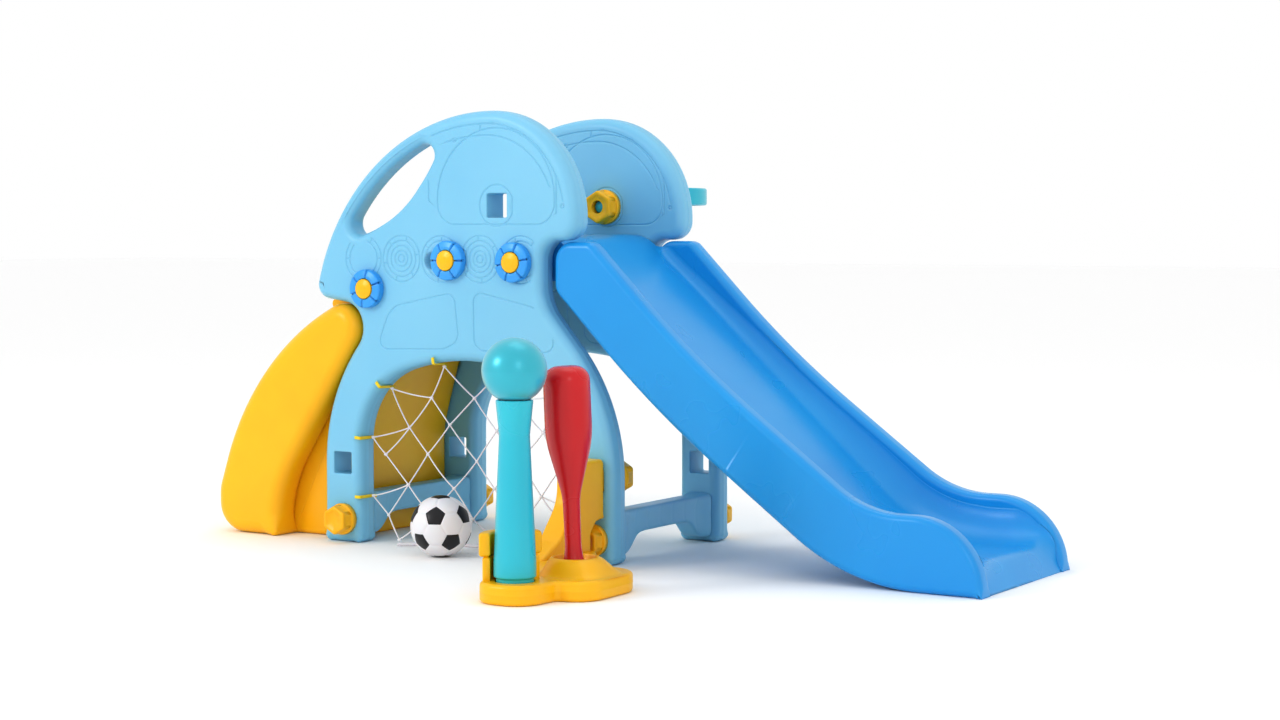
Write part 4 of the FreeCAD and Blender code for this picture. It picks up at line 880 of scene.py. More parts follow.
def facing(shape, place, outward):
    """Turns a shape made along +Z to point along +Y or -Y (outward 1 or -1) and puts it at place."""
    x, y, z = shape[0].T
    return np.column_stack([x, outward * z, -outward * y]) + np.array(place), shape[1]


RING_OUTER, RING_THICK, CAP_RADIUS, NOTCHES = 0.0465, 0.0215, 0.0240, 6
NOTCH_FLOOR, RING_BORE, RING_SEAT = 0.0130, 0.0105, 0.0102
RING_TURNS = {"ladder": 0.35, "platform": 0.0, "slide": 0.18}
sky_blue = moulded("sky_blue_plastic", (0.060, 0.400, 0.850), (0.040, 0.350, 0.810), 0.30, coat=0.15)


def grip_ring(turn):
    """A notched ring: a turned profile whose top drops by the notch's depth within a few degrees
    of each of its evenly spaced notches."""
    outline = [(RING_BORE, 0.0003, 0), (RING_OUTER, 0.0003, 0.001), (RING_OUTER, 0.0180, 0.005),
               (0.0315, RING_THICK, 0.006), (CAP_RADIUS + 0.001, RING_THICK - 0.001, 0.0015),
               (CAP_RADIUS + 0.001, RING_SEAT, 0), (RING_BORE, RING_SEAT, 0)]
    line = rounded_line(outline, 90, 1.0)
    half = math.radians(2.6)
    sector = 2 * math.pi / NOTCHES
    beside = np.array([-half * 1.35, -half, -half * 0.5, 0, half * 0.5, half, half * 1.35])
    between = np.linspace(half * 1.35, sector - half * 1.35, 14)[1:-1]
    angle = (np.concatenate([beside, between])[None] + sector * np.arange(NOTCHES)[:, None]).ravel() + turn
    nearest = np.abs((angle - turn + sector / 2) % sector - sector / 2)
    cut = (nearest <= half * 1.01).astype(float)
    top = np.clip((line[:, 1] - NOTCH_FLOOR) / 0.0005, 0, 1) * (line[:, 0] > CAP_RADIUS)
    height = line[:, 1:] - cut[None] * top[:, None] * (line[:, 1:] - NOTCH_FLOOR)
    radius = line[:, :1] - 0.0035 * cut[None] * (line[:, :1] > RING_OUTER - 0.003) * (line[:, 1:] > 0.006)
    return round_axis(radius, angle, height), grid_faces(len(line), len(angle))


def dial_bolt():
    """A shank and a shallow domed cap with a finely lobed rim."""
    outline = [(0, -0.117, 0), (0.0095, -0.117, 0.001), (0.0095, 0.0105, 0), (CAP_RADIUS, 0.0105, 0.0005),
               (CAP_RADIUS, 0.0232, 0.0022), (0.0100, 0.0272, 0.020), (0, 0.0274, 0)]

    def lobes(angle, height):
        return 1 - 0.018 * (1 + np.cos(16 * angle)) / 2 * (height > 0.011)

    return turned(outline, 96, 1.0, 110, lobes)


for node in sorted(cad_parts):
    if not node.startswith("dial_"):
        continue
    low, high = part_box(node)
    front = node.startswith("dial_front")
    face = FACE_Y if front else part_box("rear_panel")[1].y
    place = ((low.x + high.x) / 2, face, (low.z + high.z) / 2)
    if node.endswith("ring"):
        shape, paint, slot = grip_ring(RING_TURNS[node.split("_")[2]]), sky_blue, "dial_ring"
    else:
        shape, paint, slot = dial_bolt(), yellow, "yellow"
    solid_mesh(node + "_shaped", facing(shape, place, -1 if front else 1), paint, "frame", node)


# ---- knobs and nuts ---------------------------------------------------------------------------
# Yellow hand screws at the legs' feet and the nuts of the two square pegs: a six-sided head with
# softened corners on a round flange.
SIDES, HEX_POWER, AROUND = 6, 22, 96


def rounded_rim(radius, six, top, rounding, count):
    """The rows of a rim's quarter circle, from its side up to its top."""
    return [(radius - rounding + rounding * math.cos(a), six, top - rounding + rounding * math.sin(a))
            for a in np.linspace(0, np.pi / 2, count)]


def six_sided(flange, corner, flange_thick, head_thick, shank=0.0, reach=0.0, bore=0.0):
    """A grid whose rows are rings round the axis: circles for the flange and shank, and for the
    head rounded hexagons, radius = 1 / (sum over sides of max(cos(a - side), 0)^n)^(1/n)."""
    angle = whole_turn(AROUND)
    facing_side = np.maximum(np.cos(angle[:, None] - whole_turn(SIDES)[None]), 0) ** HEX_POWER
    hexagon = np.cos(np.pi / SIDES) / np.sum(facing_side, 1) ** (1 / HEX_POWER)
    top = flange_thick + head_thick
    if bore:
        rows = [(bore, 0, top - 0.002), (bore, 0, 0)]
    else:
        rows = [(0.0, 0, -reach), (shank, 0, -reach), (shank, 0, 0)]
    rows += [(flange - 0.001, 0, 0)] + rounded_rim(flange, 0, flange_thick, 0.004, 6)
    rows += [(corner + 0.001, 1, flange_thick)] + rounded_rim(corner, 1, top, 0.005, 7)
    rows += [(corner * 0.72, 1, top), (corner * 0.66, 0.8, top - 0.0018), (bore, 0, top - 0.0018)]
    radius = np.array([r * (1 + six * (hexagon - 1)) for r, six, _ in rows])
    height = np.array([h for _, _, h in rows])[:, None] + 0 * radius
    return round_axis(radius, angle, height), grid_faces(len(rows), AROUND)


knob = six_sided(0.0385, 0.0360, 0.0160, 0.0275, shank=0.0078, reach=0.1165)
nut = six_sided(0.0435, 0.0420, 0.0160, 0.0285, bore=0.0162)
rear_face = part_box("rear_panel")[1].y
screws = [(node, knob, FACE_Y if "front" in node else rear_face, -1 if "front" in node else 1)
          for node in sorted(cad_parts) if node.startswith("leg_knob")]
screws += [("hoop_nut", nut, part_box("hoop_nut")[1].y, -1), ("stand_nut", nut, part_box("stand_nut")[0].y, 1)]
for node, shape, y, outward in sorted(screws, key=lambda screw: screw[0]):
    low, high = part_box(node)
    place = ((low.x + high.x) / 2, y, (low.z + high.z) / 2)
    solid_mesh(node + "_shaped", facing(shape, place, outward), yellow, "frame", node)


# ---- hoop -------------------------------------------------------------------------------------
# A teal basketball ring with a flat band, a short bracket, a back plate and a square peg with a
# moulded screw that passes through the rear panel.
def block(low, high, radius):
    """A rounded block between two corners, a plate seen along Y."""
    width, height = high[0] - low[0], high[2] - low[2]
    loop = rounded_loop([(0, 0, 1.6 * radius), (width, 0, 1.6 * radius), (width, height, 1.6 * radius),
                         (0, height, 1.6 * radius)], 0.004, 1.0)
    points, faces = slab(loop, high[1] - low[1], radius)
    return np.column_stack([points[:, 0] + low[0], points[:, 2] + low[1], points[:, 1] + low[2]]), faces


def screw_thread(radius, length, pitch, deep):
    """A blunt screw along +Z: the radius drops with a rounded saw wave of height / pitch - angle."""
    around, rows = 48, int(length / 0.0008)
    angle = whole_turn(around)
    height = np.linspace(0, length, rows)[:, None] + 0 * angle[None]
    wave = (height / pitch - angle[None] / (2 * np.pi)) % 1
    fade = np.clip(height / 0.002, 0, 1) * np.clip((length - height) / 0.003, 0, 1)
    tip = 0.002 * (1 - np.clip((length - height) / 0.002, 0, 1))
    size = radius - deep * (0.5 + 0.5 * np.cos(2 * np.pi * wave)) * fade - tip
    size = np.concatenate([0 * size[:1], size, 0 * size[:1]])
    height = np.concatenate([height[:1], height, height[-1:]])
    return round_axis(size, angle, height), grid_faces(rows + 2, around)


teal = moulded("teal_plastic", (0.040, 0.560, 0.660), (0.030, 0.490, 0.620), 0.30, coat=0.25)
hoop_low, hoop_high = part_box("hoop")
ring_radius = (hoop_high.x - hoop_low.x) / 2
ring_x, ring_y = (hoop_low.x + hoop_high.x) / 2, hoop_high.y - ring_radius
socket_z = SOCKET[1] * HIGH
BAND_LIFT, BAND_HALF, PEG_HALF = 0.028, 0.022, 0.0257
band_low, band_high = socket_z + BAND_LIFT - BAND_HALF, socket_z + BAND_LIFT + BAND_HALF
band_line = [(ring_radius - 0.0145, band_low, 0), (ring_radius, band_low, 0.006),
             (ring_radius, band_high, 0.006), (ring_radius - 0.0145, band_high, 0.006),
             (ring_radius - 0.0145, band_low, 0.001), (ring_radius - 0.0140, band_low, 0)]
band = turned(band_line, 160, 1.0, 70)
band = moved(band, (ring_x, ring_y, 0))
hoop_shape = together(
    band,
    block((ring_x - 0.030, rear_face + 0.004, band_low + 0.001),
          (ring_x + 0.030, ring_y - ring_radius + 0.010, band_high - 0.001), 0.006),
    block((ring_x - 0.0455, rear_face + 0.001, socket_z - 0.0455),
          (ring_x + 0.0455, rear_face + 0.0105, socket_z + 0.0500), 0.004),
    block((ring_x - PEG_HALF, rear_face - 0.068, socket_z - PEG_HALF),
          (ring_x + PEG_HALF, rear_face + 0.004, socket_z + PEG_HALF), 0.003),
)
thread = screw_thread(0.0158, 0.0300, 0.0062, 0.0022)
hoop_screw = facing(thread, (ring_x, rear_face - 0.0675, socket_z), -1)
solid_mesh("hoop_shaped", together(hoop_shape, hoop_screw), teal, "frame", "hoop")


# ---- tee-ball stand ---------------------------------------------------------------------------
# A yellow foot with two lobes: a flat one under the tee, with a two-step cradle behind it, and a
# pillowed one round the bat's hole. Its fin stands against the leg and plugs into it.
BAT, MOUND, STAND_LEG = (0.927, -0.342), (0.940, -0.338), 0.750
SLAB = [
    (0.717, -0.052, 0.010), (0.792, -0.052, 0.010), (0.850, -0.215, 0.080), (1.020, -0.225, 0.070),
    (1.024, -0.440, 0.070), (0.955, -0.447, 0.015), (0.9475, -0.5525, 0.060),
    (0.8125, -0.5525, 0.060), (0.8125, -0.370, 0.060), (0.717, -0.270, 0.060),
]
FIN = [
    (-0.0005, 0.236, 0.012), (-0.0005, 0.106, 0.006), (-0.030, 0.101, 0.012),
    (-0.052, 0.078, 0.015), (-0.052, 0.002, 0.004), (-0.250, 0.002, 0.004), (-0.250, 0.040, 0.010),
    (-0.170, 0.080, 0.080), (-0.110, 0.150, 0.080), (-0.106, 0.236, 0.014),
]
SLAB_THICK, FIN_THICK = 0.043, 0.0575
BOSS_HIGH = 0.080
DATUM = np.array([LEG_X, FACE_Y, 0])


def at(shape, x, y, z=0.0):
    """A shape carried to a place in shares of the height."""
    return moved(shape, DATUM + np.array([x, y, z]) * HIGH)


def level(shape):
    """Lays a plate of (across, up, depth) points flat, its front face on top."""
    across, up, depth = shape[0].T
    return np.column_stack([across + LEG_X, up + FACE_Y, SLAB_THICK - depth]), shape[1]


def bat_mound():
    """The pillow round the bat's hole, a polar grid: from the hole's rim outwards the height falls
    as a cosine to the slab's edge, whose distance is that of a rounded square; inside the rim it
    goes down as a tapering cup."""
    around = 120
    angle = whole_turn(around)
    shift = (np.array(MOUND) - BAT) * HIGH
    square = (np.abs(np.cos(angle)) ** 3.6 + np.abs(np.sin(angle)) ** 3.6) ** (-1 / 3.6)
    way = np.stack([np.cos(angle), np.sin(angle)], 1)
    edge = way * (0.0815 * HIGH * square)[:, None] + shift
    rim = 0.046 * HIGH
    rows = []
    for share in np.linspace(1, 0, 26):
        spot = way * rim + (edge - way * rim) * share
        swell = 0.5 + 0.5 * np.cos(np.pi * share ** 0.85)
        z = SLAB_THICK - 0.002 + (BOSS_HIGH - SLAB_THICK + 0.0005) * swell
        rows.append(np.column_stack([spot, np.full(around, z)]))
    for radius, z in ((0.0450, BOSS_HIGH - 0.0022), (0.0440, BOSS_HIGH - 0.005), (0.0330, 0.0140),
                      (0.0, 0.0140)):
        rows.append(np.column_stack([way * radius * HIGH, np.full(around, z)]))
    return at((np.concatenate(rows), grid_faces(len(rows), around)), *BAT)


def cradle_tier(inner, outer, low, top, start, sweep):
    """A wall bent round the tee: a rounded rectangle carried along an arc, drawn in to nothing over
    the last few millimetres at each end."""
    stations = 90
    share = (1 - np.cos(np.pi * np.linspace(0, 1, stations))) / 2
    angle = math.radians(start) + math.radians(sweep) * share
    length = math.radians(sweep) * (inner + outer) / 2
    to_end = np.minimum(share, 1 - share) * length
    ends = rounded_end(to_end / 0.010)
    corner = 0.0065
    section = rounded_loop([(inner, low, corner), (outer, low, corner), (outer, top, corner),
                            (inner, top, corner)], 0.0025, 1.0)
    middle = np.array([(inner + outer) / 2, (low + top) / 2])
    size = (0.75 + 0.25 * ends) * (ends > 0)
    ring = middle + (section - middle)[None] * size[:, None, None]
    points = round_axis(ring[..., 0], angle[:, None], ring[..., 1])
    return at((points, grid_faces(stations, len(section))), *TEE)


slab_outline = rounded_loop(SLAB, 0.005)
tee_hole = circle(TEE, 0.0395 * HIGH)[:-1]
bat_hole = circle(BAT, 0.0400 * HIGH)[:-1]
plate = slab(slab_outline, SLAB_THICK, 0.009, [tee_hole, bat_hole], [0.002, 0.001], seam=0.0004)
fin = slab(rounded_loop(FIN, 0.004), FIN_THICK, 0.008)
leg_x, leg_z = STAND_LEG * HIGH + LEG_X, LEG_SOCKETS[1][1] * HIGH
fin_x = leg_x - FIN_THICK / 2
fin = (np.column_stack([fin[0][:, 2] + fin_x, fin[0][:, 0] + FACE_Y, fin[0][:, 1]]), fin[1])
STAND_PEG_HALF = 0.0245
peg = block((leg_x - STAND_PEG_HALF, FACE_Y - 0.004, leg_z - STAND_PEG_HALF),
            (leg_x + STAND_PEG_HALF, FACE_Y + 0.067, leg_z + STAND_PEG_HALF), 0.003)
peg_screw = facing(thread, (leg_x, FACE_Y + 0.0665, leg_z), 1)
tiers = [cradle_tier(0.048 * HIGH, outer * HIGH, low * HIGH, top * HIGH, 74, 146)
         for outer, low, top in ((0.0645, 0.030, 0.0895), (0.0715, 0.0885, 0.1365))]
solid_mesh("stand_shaped", together(level(plate), fin, bat_mound(), peg, peg_screw, *tiers),
           yellow, "frame", "stand")


# ---- tee, ball and bat ------------------------------------------------------------------------
# The teal tee post plugs into the stand and flares at the top to hold a pearly ball; the red toy
# bat stands handle down in its hole, leaning a little.
TEE_POST = [
    (0.000, 0.0127, 0), (0.0378, 0.0127, 0.001), (0.0378, 0.0485, 0.0015), (0.0424, 0.0490, 0.003),
    (0.0424, 0.075, 0.400), (0.0305, 0.330, 0.080), (0.0374, 0.3995, 0.0030), (0.0335, 0.4000, 0.0015),
    (0.0300, 0.380, 0.004), (0.000, 0.379, 0),
]
BAT_OUTLINE = [
    (0.000, 0.0005, 0), (0.0308, 0.0005, 0.006), (0.0300, 0.018, 0.008), (0.0165, 0.075, 0.150),
    (0.0178, 0.185, 0.150), (0.0478, 0.300, 0.250), (0.0473, 0.4475, 0.030), (0.000, 0.4478, 0),
]
post = turned(TEE_POST, 128, HIGH, 260)
solid_mesh("tee_post_shaped", at(post, *TEE), teal, "tee_post", "tee_post")

bat = turned(BAT_OUTLINE, 128, HIGH, 260)
lean = math.radians(2.2)
axis = np.array([-0.848 * math.sin(lean), -0.530 * math.sin(lean), math.cos(lean)])
side = np.cross([0, 1, 0], axis)
side /= np.linalg.norm(side)
leaning_bat = (bat[0] @ np.stack([side, np.cross(axis, side), axis]), bat[1])
red = moulded("red_plastic", (0.640, 0.005, 0.010), (0.550, 0.003, 0.008), 0.28, coat=0.40)
solid_mesh("bat_shaped", at(leaning_bat, *BAT, 0.0135), red, "bat", "bat")

pearl = moulded("pearly_teal_plastic", (0.050, 0.500, 0.600), (0.040, 0.440, 0.560), 0.33, coat=0.5,
                peel=0.03)
pearl_sockets = pearl.node_tree.nodes["Principled BSDF"].inputs
for socket, value in (("Metallic", 0.30), ("Sheen Weight", 0.4), ("Sheen Roughness", 0.4)):
    pearl_sockets[socket].default_value = value
ball_low, ball_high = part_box("tee_ball")
ball_radius = (ball_high.z - ball_low.z) / 2 - 0.0002
ball_middle = np.array((ball_low + ball_high) / 2)


def ball(radius, seam=0.0):
    """A sphere as a grid of latitude and longitude, with a fine raised line round its middle."""
    tilt = np.linspace(-np.pi / 2, np.pi / 2, 121)[:, None]
    turn = whole_turn(160)[None]
    size = radius - seam + seam * np.exp(-(tilt * radius / 0.0006) ** 2)
    points = round_axis(size * np.cos(tilt), turn, size * np.sin(tilt) + 0 * turn)
    return points, grid_faces(121, 160)


sphere = ball(ball_radius, 0.0002)
solid_mesh("tee_ball_shaped", moved(sphere, ball_middle), pearl, "tee_ball", "tee_ball")


# ---- football ---------------------------------------------------------------------------------
# A small stitched ball of twelve black five-sided and twenty white six-sided patches, each a
# cushion that dips into the seams round it.
def football(radius, seam_wide, seam_deep):
    """Patches of a truncated icosahedron: each is a fan of triangles about its middle, divided
    into a fine grid and pushed out to the sphere. Near a patch's edge the radius drops by
    deep * exp(-(distance to the edge / wide)^2). Returns points, faces and which are black."""
    golden = (1 + 5 ** 0.5) / 2
    corners = []
    for a in (-1, 1):
        for b in (-golden, golden):
            corners += [(0, a, b), (a, b, 0), (b, 0, a)]
    corners = np.array(corners) / np.hypot(1, golden)
    gaps = np.linalg.norm(corners[:, None] - corners[None], axis=2)
    side = gaps[gaps > 0.1].min()
    beside = (gaps > 0.1) & (gaps < side * 1.01)
    patches = []
    for i in range(12):
        near = np.flatnonzero(beside[i])
        middle = corners[i]
        u = np.cross(middle, corners[near[0]])
        u /= np.linalg.norm(u)
        v = np.cross(middle, u)
        order = near[np.argsort(np.arctan2(corners[near] @ v, corners[near] @ u))]
        patches.append((corners[i] + (corners[order] - corners[i]) / 3, True))
    for i in range(12):
        for j in range(i + 1, 12):
            for k in range(j + 1, 12):
                if beside[i, j] and beside[j, k] and beside[i, k]:
                    ring = []
                    for a, b in ((i, j), (j, k), (k, i)):
                        ring.append(corners[a] + (corners[b] - corners[a]) / 3)
                        ring.append(corners[a] + (corners[b] - corners[a]) * 2 / 3)
                    patches.append((np.array(ring), False))
    divide = 12
    row_share, column_share = [], []
    for a in range(divide + 1):
        for b in range(a + 1):
            row_share.append(a / divide)
            column_share.append(b / divide)
    row_share, column_share = np.array(row_share)[:, None], np.array(column_share)[:, None]
    small = []
    for a in range(divide):
        first, after = a * (a + 1) // 2, (a + 1) * (a + 2) // 2
        for b in range(a + 1):
            small.append((first + b, after + b, after + b + 1))
            if b < a:
                small.append((first + b, after + b + 1, first + b + 1))
    small = np.array(small)
    points, faces, black = [], [], []
    for ring, dark in patches:
        middle = ring.mean(0)
        for one, two in zip(ring, np.roll(ring, -1, 0)):
            flat = middle + (one - middle) * (row_share - column_share) + (two - middle) * column_share
            to_edge = (1 - row_share[:, 0]) * np.linalg.norm((one + two) / 2 - middle) * radius
            drop = seam_deep * np.exp(-(to_edge / seam_wide) ** 2)
            out = flat / np.linalg.norm(flat, axis=1)[:, None]
            faces.append(small + sum(len(p) for p in points))
            points.append(out * (radius - drop)[:, None])
            black += [dark] * len(small)
    return np.concatenate(points), np.concatenate(faces), black


goal_low, goal_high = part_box("football")
football_radius = (goal_high.z - goal_low.z) / 2
shape, patch_faces, black = football(football_radius - 0.0001, 0.0021, 0.0014)
roll, yaw = math.radians(32), math.radians(24)
turn_x = np.array([[1, 0, 0], [0, math.cos(roll), -math.sin(roll)], [0, math.sin(roll), math.cos(roll)]])
turn_z = np.array([[math.cos(yaw), -math.sin(yaw), 0], [math.sin(yaw), math.cos(yaw), 0], [0, 0, 1]])
shape = shape @ (turn_z @ turn_x).T + np.array((goal_low + goal_high) / 2)
white_skin = moulded("white_ball_skin", (0.82, 0.81, 0.83), (0.78, 0.77, 0.80), 0.42, coat=0.1, grain=700)
black_skin = moulded("black_ball_skin", (0.010, 0.010, 0.013), (0.014, 0.013, 0.016), 0.38, coat=0.1,
                     grain=700)
football_piece = solid_mesh("football_shaped", (shape, patch_faces), white_skin, "football",
                            "football")
football_piece.data.materials.append(black_skin)
middles = np.array([face.center for face in football_piece.data.polygons])
known = KDTree(len(patch_faces))
for row, spot in enumerate(shape[patch_faces].mean(1)):
    known.insert(spot, row)
known.balance()
dark_face = np.array([black[known.find(spot)[1]] for spot in middles])
football_piece.data.polygons.foreach_set("material_index", dark_face.astype(np.int32))


# ---- net hooks --------------------------------------------------------------------------------
# Lemon-yellow straps clipped round the edge of the arch; each comes out of a slit in the goal-side
# face, goes round the edge and along the inside of the arch, and ends in a nib that holds a knot.
lemon = moulded("lemon_plastic", (0.880, 0.690, 0.020), (0.840, 0.580, 0.010), 0.35)
JAMB_HOOKS_Z = (0.114, 0.258)
CORNER_HOOK, CROWN_HOOK = 48, 82


def hook_places():
    """The eight hooks up one jamb, over the crown and down the other, as (along, up, heading): on
    an arc of the arch, a hook stands where its heading leads to that arc's centre."""
    reach = ARCH_WIDE / 2 - ARCH_CORNER
    crown_centre = (ARCH_MIDDLE, ARCH_HIGH - ARCH_CROWN)
    corner_z = crown_centre[1] + math.sqrt((ARCH_CROWN - ARCH_CORNER) ** 2 - reach ** 2)
    low, high = JAMB_HOOKS_Z
    tilt = math.degrees(math.asin((high - corner_z) / ARCH_CORNER))

    def on_arc(centre, radius, heading):
        angle = math.radians(heading)
        return centre[0] - radius * math.cos(angle), centre[1] - radius * math.sin(angle), heading

    ladder_side, slide_side = (ARCH_MIDDLE - reach, corner_z), (ARCH_MIDDLE + reach, corner_z)
    return {
        "net_hook_ladder_low": (ARCH_MIDDLE - ARCH_WIDE / 2, low, 0),
        "net_hook_ladder_high": on_arc(ladder_side, ARCH_CORNER, -tilt),
        "net_hook_ladder_corner": on_arc(ladder_side, ARCH_CORNER, -CORNER_HOOK),
        "net_hook_top_ladder": on_arc(crown_centre, ARCH_CROWN, -CROWN_HOOK),
        "net_hook_top_slide": on_arc(crown_centre, ARCH_CROWN, CROWN_HOOK - 180),
        "net_hook_slide_corner": on_arc(slide_side, ARCH_CORNER, CORNER_HOOK - 180),
        "net_hook_slide_high": on_arc(slide_side, ARCH_CORNER, tilt - 180),
        "net_hook_slide_low": (ARCH_MIDDLE + ARCH_WIDE / 2, low, 180),
    }


HOOKS = hook_places()


def strap():
    """A flat strap in its own plane, towards the opening and away from the front: a rounded
    rectangle carried along a line with two bends, its width drawn in at both ends."""
    line = rounded_line([(-0.0140, -0.0020, 0), (-0.0120, -0.0035, 0.003), (0.0025, -0.0035, 0.005),
                         (0.0040, 0.0440, 0.0035), (0.0145, 0.0445, 0.001), (0.0150, 0.0420, 0)], 60, 1.0)
    side = line_normal(line)
    section = rounded_loop([(-0.0017, -0.0038, 0.0010), (0.0017, -0.0038, 0.0010),
                            (0.0017, 0.0038, 0.0010), (-0.0017, 0.0038, 0.0010)], 0.0012, 1.0)
    place = np.linspace(0, 1, len(line))
    ends = rounded_end(np.minimum(place, 1 - place) / 0.04)
    thick = section[:, 0][None] * ends[:, None]
    width = section[:, 1][None] * ((0.6 + 0.4 * ends) * (ends > 0))[:, None]
    spots = line[:, None] + side[:, None] * thick[..., None]
    return np.concatenate([spots, width[..., None]], 2).reshape(-1, 3), grid_faces(len(line), len(section))


strap_points, strap_faces = strap()
opening, back, across = strap_points.T
for node, (x, z, heading) in HOOKS.items():
    way = math.radians(heading)
    placed = np.column_stack([opening * math.cos(way) - across * math.sin(way), back,
                              opening * math.sin(way) + across * math.cos(way)])
    placed_strap = (placed + DATUM + np.array([x, 0, z]), strap_faces)
    solid_mesh(node + "_shaped", placed_strap, lemon, "frame", node)


# ---- goal net ---------------------------------------------------------------------------------
# A hand-tied net of twisted white cord: each cord sags a little between its two knots, and the
# knots are small turns of the same cord.
NET_TOP, MESH_WIDE, MESH_DROP, NET_SIDE, FOOT_Z = 0.364, 0.130, 0.072, 4, 0.016
NET_COLUMNS = [(-2, 0, 2), (-3, -1, 1, 3), (-4, -2, 0, 2, 4), (-3, -1, 1, 3), (-4, -2, 0, 2, 4)]
FOOT_COLUMNS = (-3, -1, 1)
HOOK_TIES = {
    "net_hook_ladder_low": ((4, -4), (3, -3)), "net_hook_ladder_high": ((2, -4), (1, -3)),
    "net_hook_ladder_corner": ((1, -3), (0, -2)), "net_hook_top_ladder": ((0, -2), (0, 0)),
    "net_hook_top_slide": ((0, 0), (0, 2)), "net_hook_slide_corner": ((0, 2), (1, 3)),
    "net_hook_slide_high": ((1, 3), (2, 4)), "net_hook_slide_low": ((3, 3), (4, 4)),
}
ROPE = [
    (0.196, 0.010), (0.252, 0.052), (0.322, 0.083), (0.402, 0.087), (0.474, 0.066), (0.532, 0.036),
]
IN_HOOK_Y, IN_HOOK_REACH = 0.0389, 0.0096
CORD_RADIUS, KNOT_RADIUS, LOWEST_CORD = 0.0020, 0.0048, 0.0155


def net_knot(row, column):
    """A knot's place: a diamond mesh by row and half-diamond column, pulled a few millimetres aside
    by a sine of both, and hanging back further the nearer its column is to the middle."""
    x = ARCH_MIDDLE + column * MESH_WIDE / 2 + 0.007 * math.sin(2.1 * column + row)
    z = NET_TOP - row * MESH_DROP + 0.006 * math.sin(1.3 * column + 2.4 * row)
    return np.array([x, IN_HOOK_Y + 0.002 * (NET_SIDE - abs(column)), z])


knot_at = {(row, column): net_knot(row, column)
           for row, columns in enumerate(NET_COLUMNS) for column in columns}
rope_spots = np.array(ROPE) * HIGH
for column in FOOT_COLUMNS:
    x = net_knot(len(NET_COLUMNS), column)[0]
    knot_at[len(NET_COLUMNS), column] = np.array([x, np.interp(x, *rope_spots.T), FOOT_Z])
net_cords = [((row, column), (row + 1, column + side)) for row, column in knot_at for side in (-1, 1)
             if (row + 1, column + side) in knot_at]
for name, (x, z, heading) in HOOKS.items():
    way = math.radians(heading)
    knot_at[name] = np.array([x + IN_HOOK_REACH * math.cos(way), IN_HOOK_Y,
                              z + IN_HOOK_REACH * math.sin(way)])
    net_cords += [(name, tie) for tie in HOOK_TIES[name]]


def rope(line, radius, strands=3, lay=0.016, around=14):
    """A twisted rope along a line of points: at angle a and distance s along, its size is
    radius * (0.88 + 0.12 * cos(strands * (a - 2 pi s / lay))), and it closes to a point at both ends."""
    along = np.gradient(line, axis=0)
    along /= np.linalg.norm(along, axis=1)[:, None]
    up = np.where(np.abs(along[:, 2:]) < 0.9, [[0, 0, 1.0]], [[0, 1.0, 0]])
    one = np.cross(up, along)
    one /= np.linalg.norm(one, axis=1)[:, None]
    two = np.cross(along, one)
    length = distances(line)
    angle = whole_turn(around)
    size = radius * (0.88 + 0.12 * np.cos(strands * (angle[None] - 2 * np.pi * length[:, None] / lay)))
    size[[0, -1]] = 0
    ring = line[:, None] + size[..., None] * (np.cos(angle)[None, :, None] * one[:, None]
                                              + np.sin(angle)[None, :, None] * two[:, None])
    return ring.reshape(-1, 3), grid_faces(len(line), around)


def knot(radius, seed):
    """A small knot: a ball whose radius swells and dips where the cord wraps round it."""
    tilt = np.linspace(-np.pi / 2, np.pi / 2, 15)[:, None]
    turn = whole_turn(20)[None]
    wrap = 1 + 0.16 * np.cos(2 * turn + 3 * tilt + seed) * np.cos(tilt) + 0.05 * np.cos(4 * tilt + seed)
    size = radius * 0.86 * wrap
    points = np.stack([1.15 * size * np.cos(tilt) * np.cos(turn), 0.85 * size * np.cos(tilt) * np.sin(turn),
                       size * np.sin(tilt) + 0 * turn], -1)
    return points.reshape(-1, 3), grid_faces(15, 20)


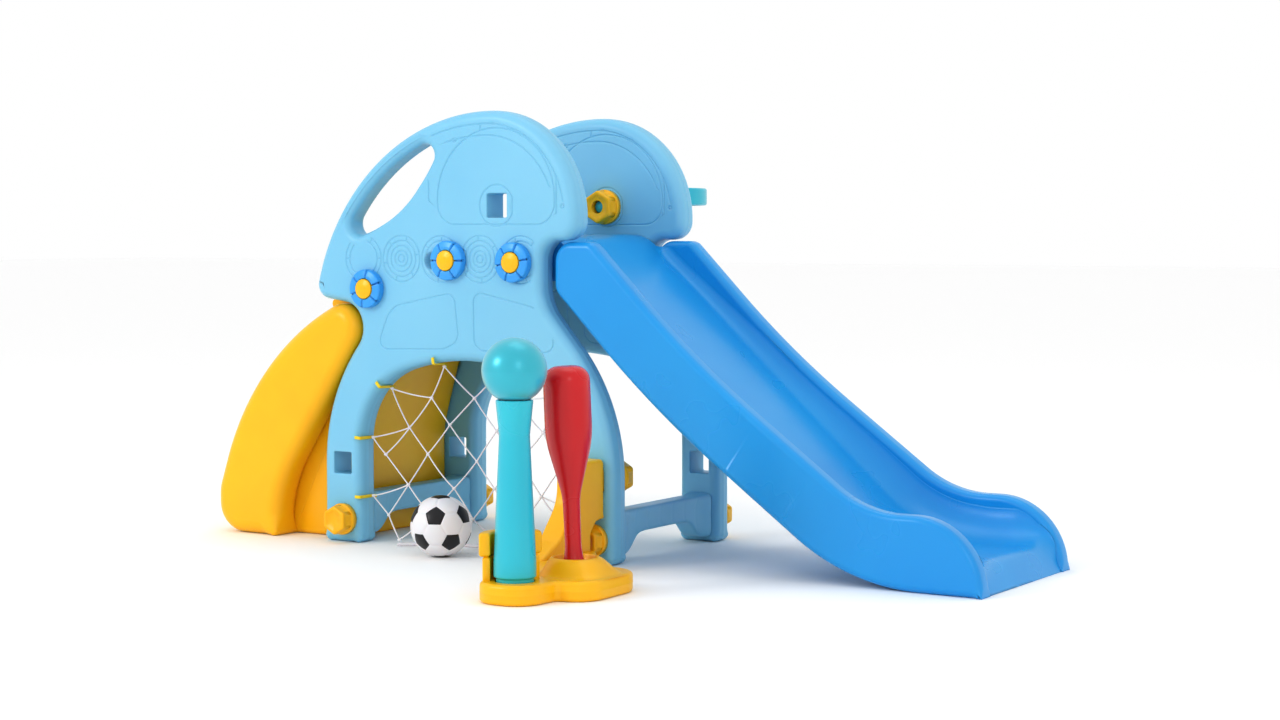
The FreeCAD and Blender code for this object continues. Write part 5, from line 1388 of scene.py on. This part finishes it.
net_parts = []
for place, (one, other) in enumerate(net_cords):
    start, end = knot_at[one], knot_at[other]
    run = end - start
    length = np.linalg.norm(run)
    share = np.linspace(0, 1, max(8, int(length / 0.0030)))[:, None]
    line = start + run * share
    sag = 0.022 + 0.010 * math.sin(1.7 * place)
    bow = np.array([[0.012 * math.cos(place), 0.02 * math.sin(2.3 * place), -sag]])
    line = line + 4 * share * (1 - share) * length * bow
    line[:, 2] = np.maximum(line[:, 2], LOWEST_CORD)
    net_parts.append(rope(line, CORD_RADIUS))
for place, spot in enumerate(knot_at.values()):
    net_parts.append(moved(knot(KNOT_RADIUS, 0.9 * place), spot))
net = moved(together(*net_parts), DATUM)


def woven_cord(name, colour, deep):
    """Twisted polyester cord: a fine grain as bump, a colour that drifts at random towards a deeper tint,
    rough, with a little sheen.
    """
    paint = moulded(name, colour, deep, 0.75, peel=0.5, grain=2600)
    paint.node_tree.nodes["Principled BSDF"].inputs["Sheen Weight"].default_value = 0.3
    return paint


white_cord = woven_cord("white_cord", (0.86, 0.83, 0.85), (0.70, 0.64, 0.70))
solid_mesh("goal_net_tied", net, white_cord, "frame", "goal_net")


# ---- net foot rope ----------------------------------------------------------------------------
# The thicker rope along the net's foot, 0.38 m long, lies loose on the floor behind the football.
ROPE_WIDE = 0.009
route = bpy.data.curves.new("foot_rope_route", "CURVE")
route.dimensions = "3D"
route.resolution_u = 24
spline = route.splines.new("NURBS")
spline.points.add(len(ROPE) - 1)
for spot, (x, y) in zip(spline.points, ROPE):
    spot.co = (x * HIGH + LEG_X, y * HIGH + FACE_Y, ROPE_WIDE / 2, 1)
spline.order_u = 3
spline.use_endpoint_u = True
route_object = bpy.data.objects.new("foot_rope_route", route)
bpy.context.scene.collection.objects.link(route_object)
route_mesh = bpy.data.meshes.new_from_object(route_object)
route_points = np.array([v.co[:] for v in route_mesh.vertices])
bpy.data.objects.remove(route_object)
rope_line = evenly(route_points, 200)
laid = rope(rope_line, ROPE_WIDE / 2, 3, 0.030, 24)
foot_rope = solid_mesh("net_foot_rope_laid", laid, white_cord, "frame", "net_foot_rope")

low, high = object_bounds()
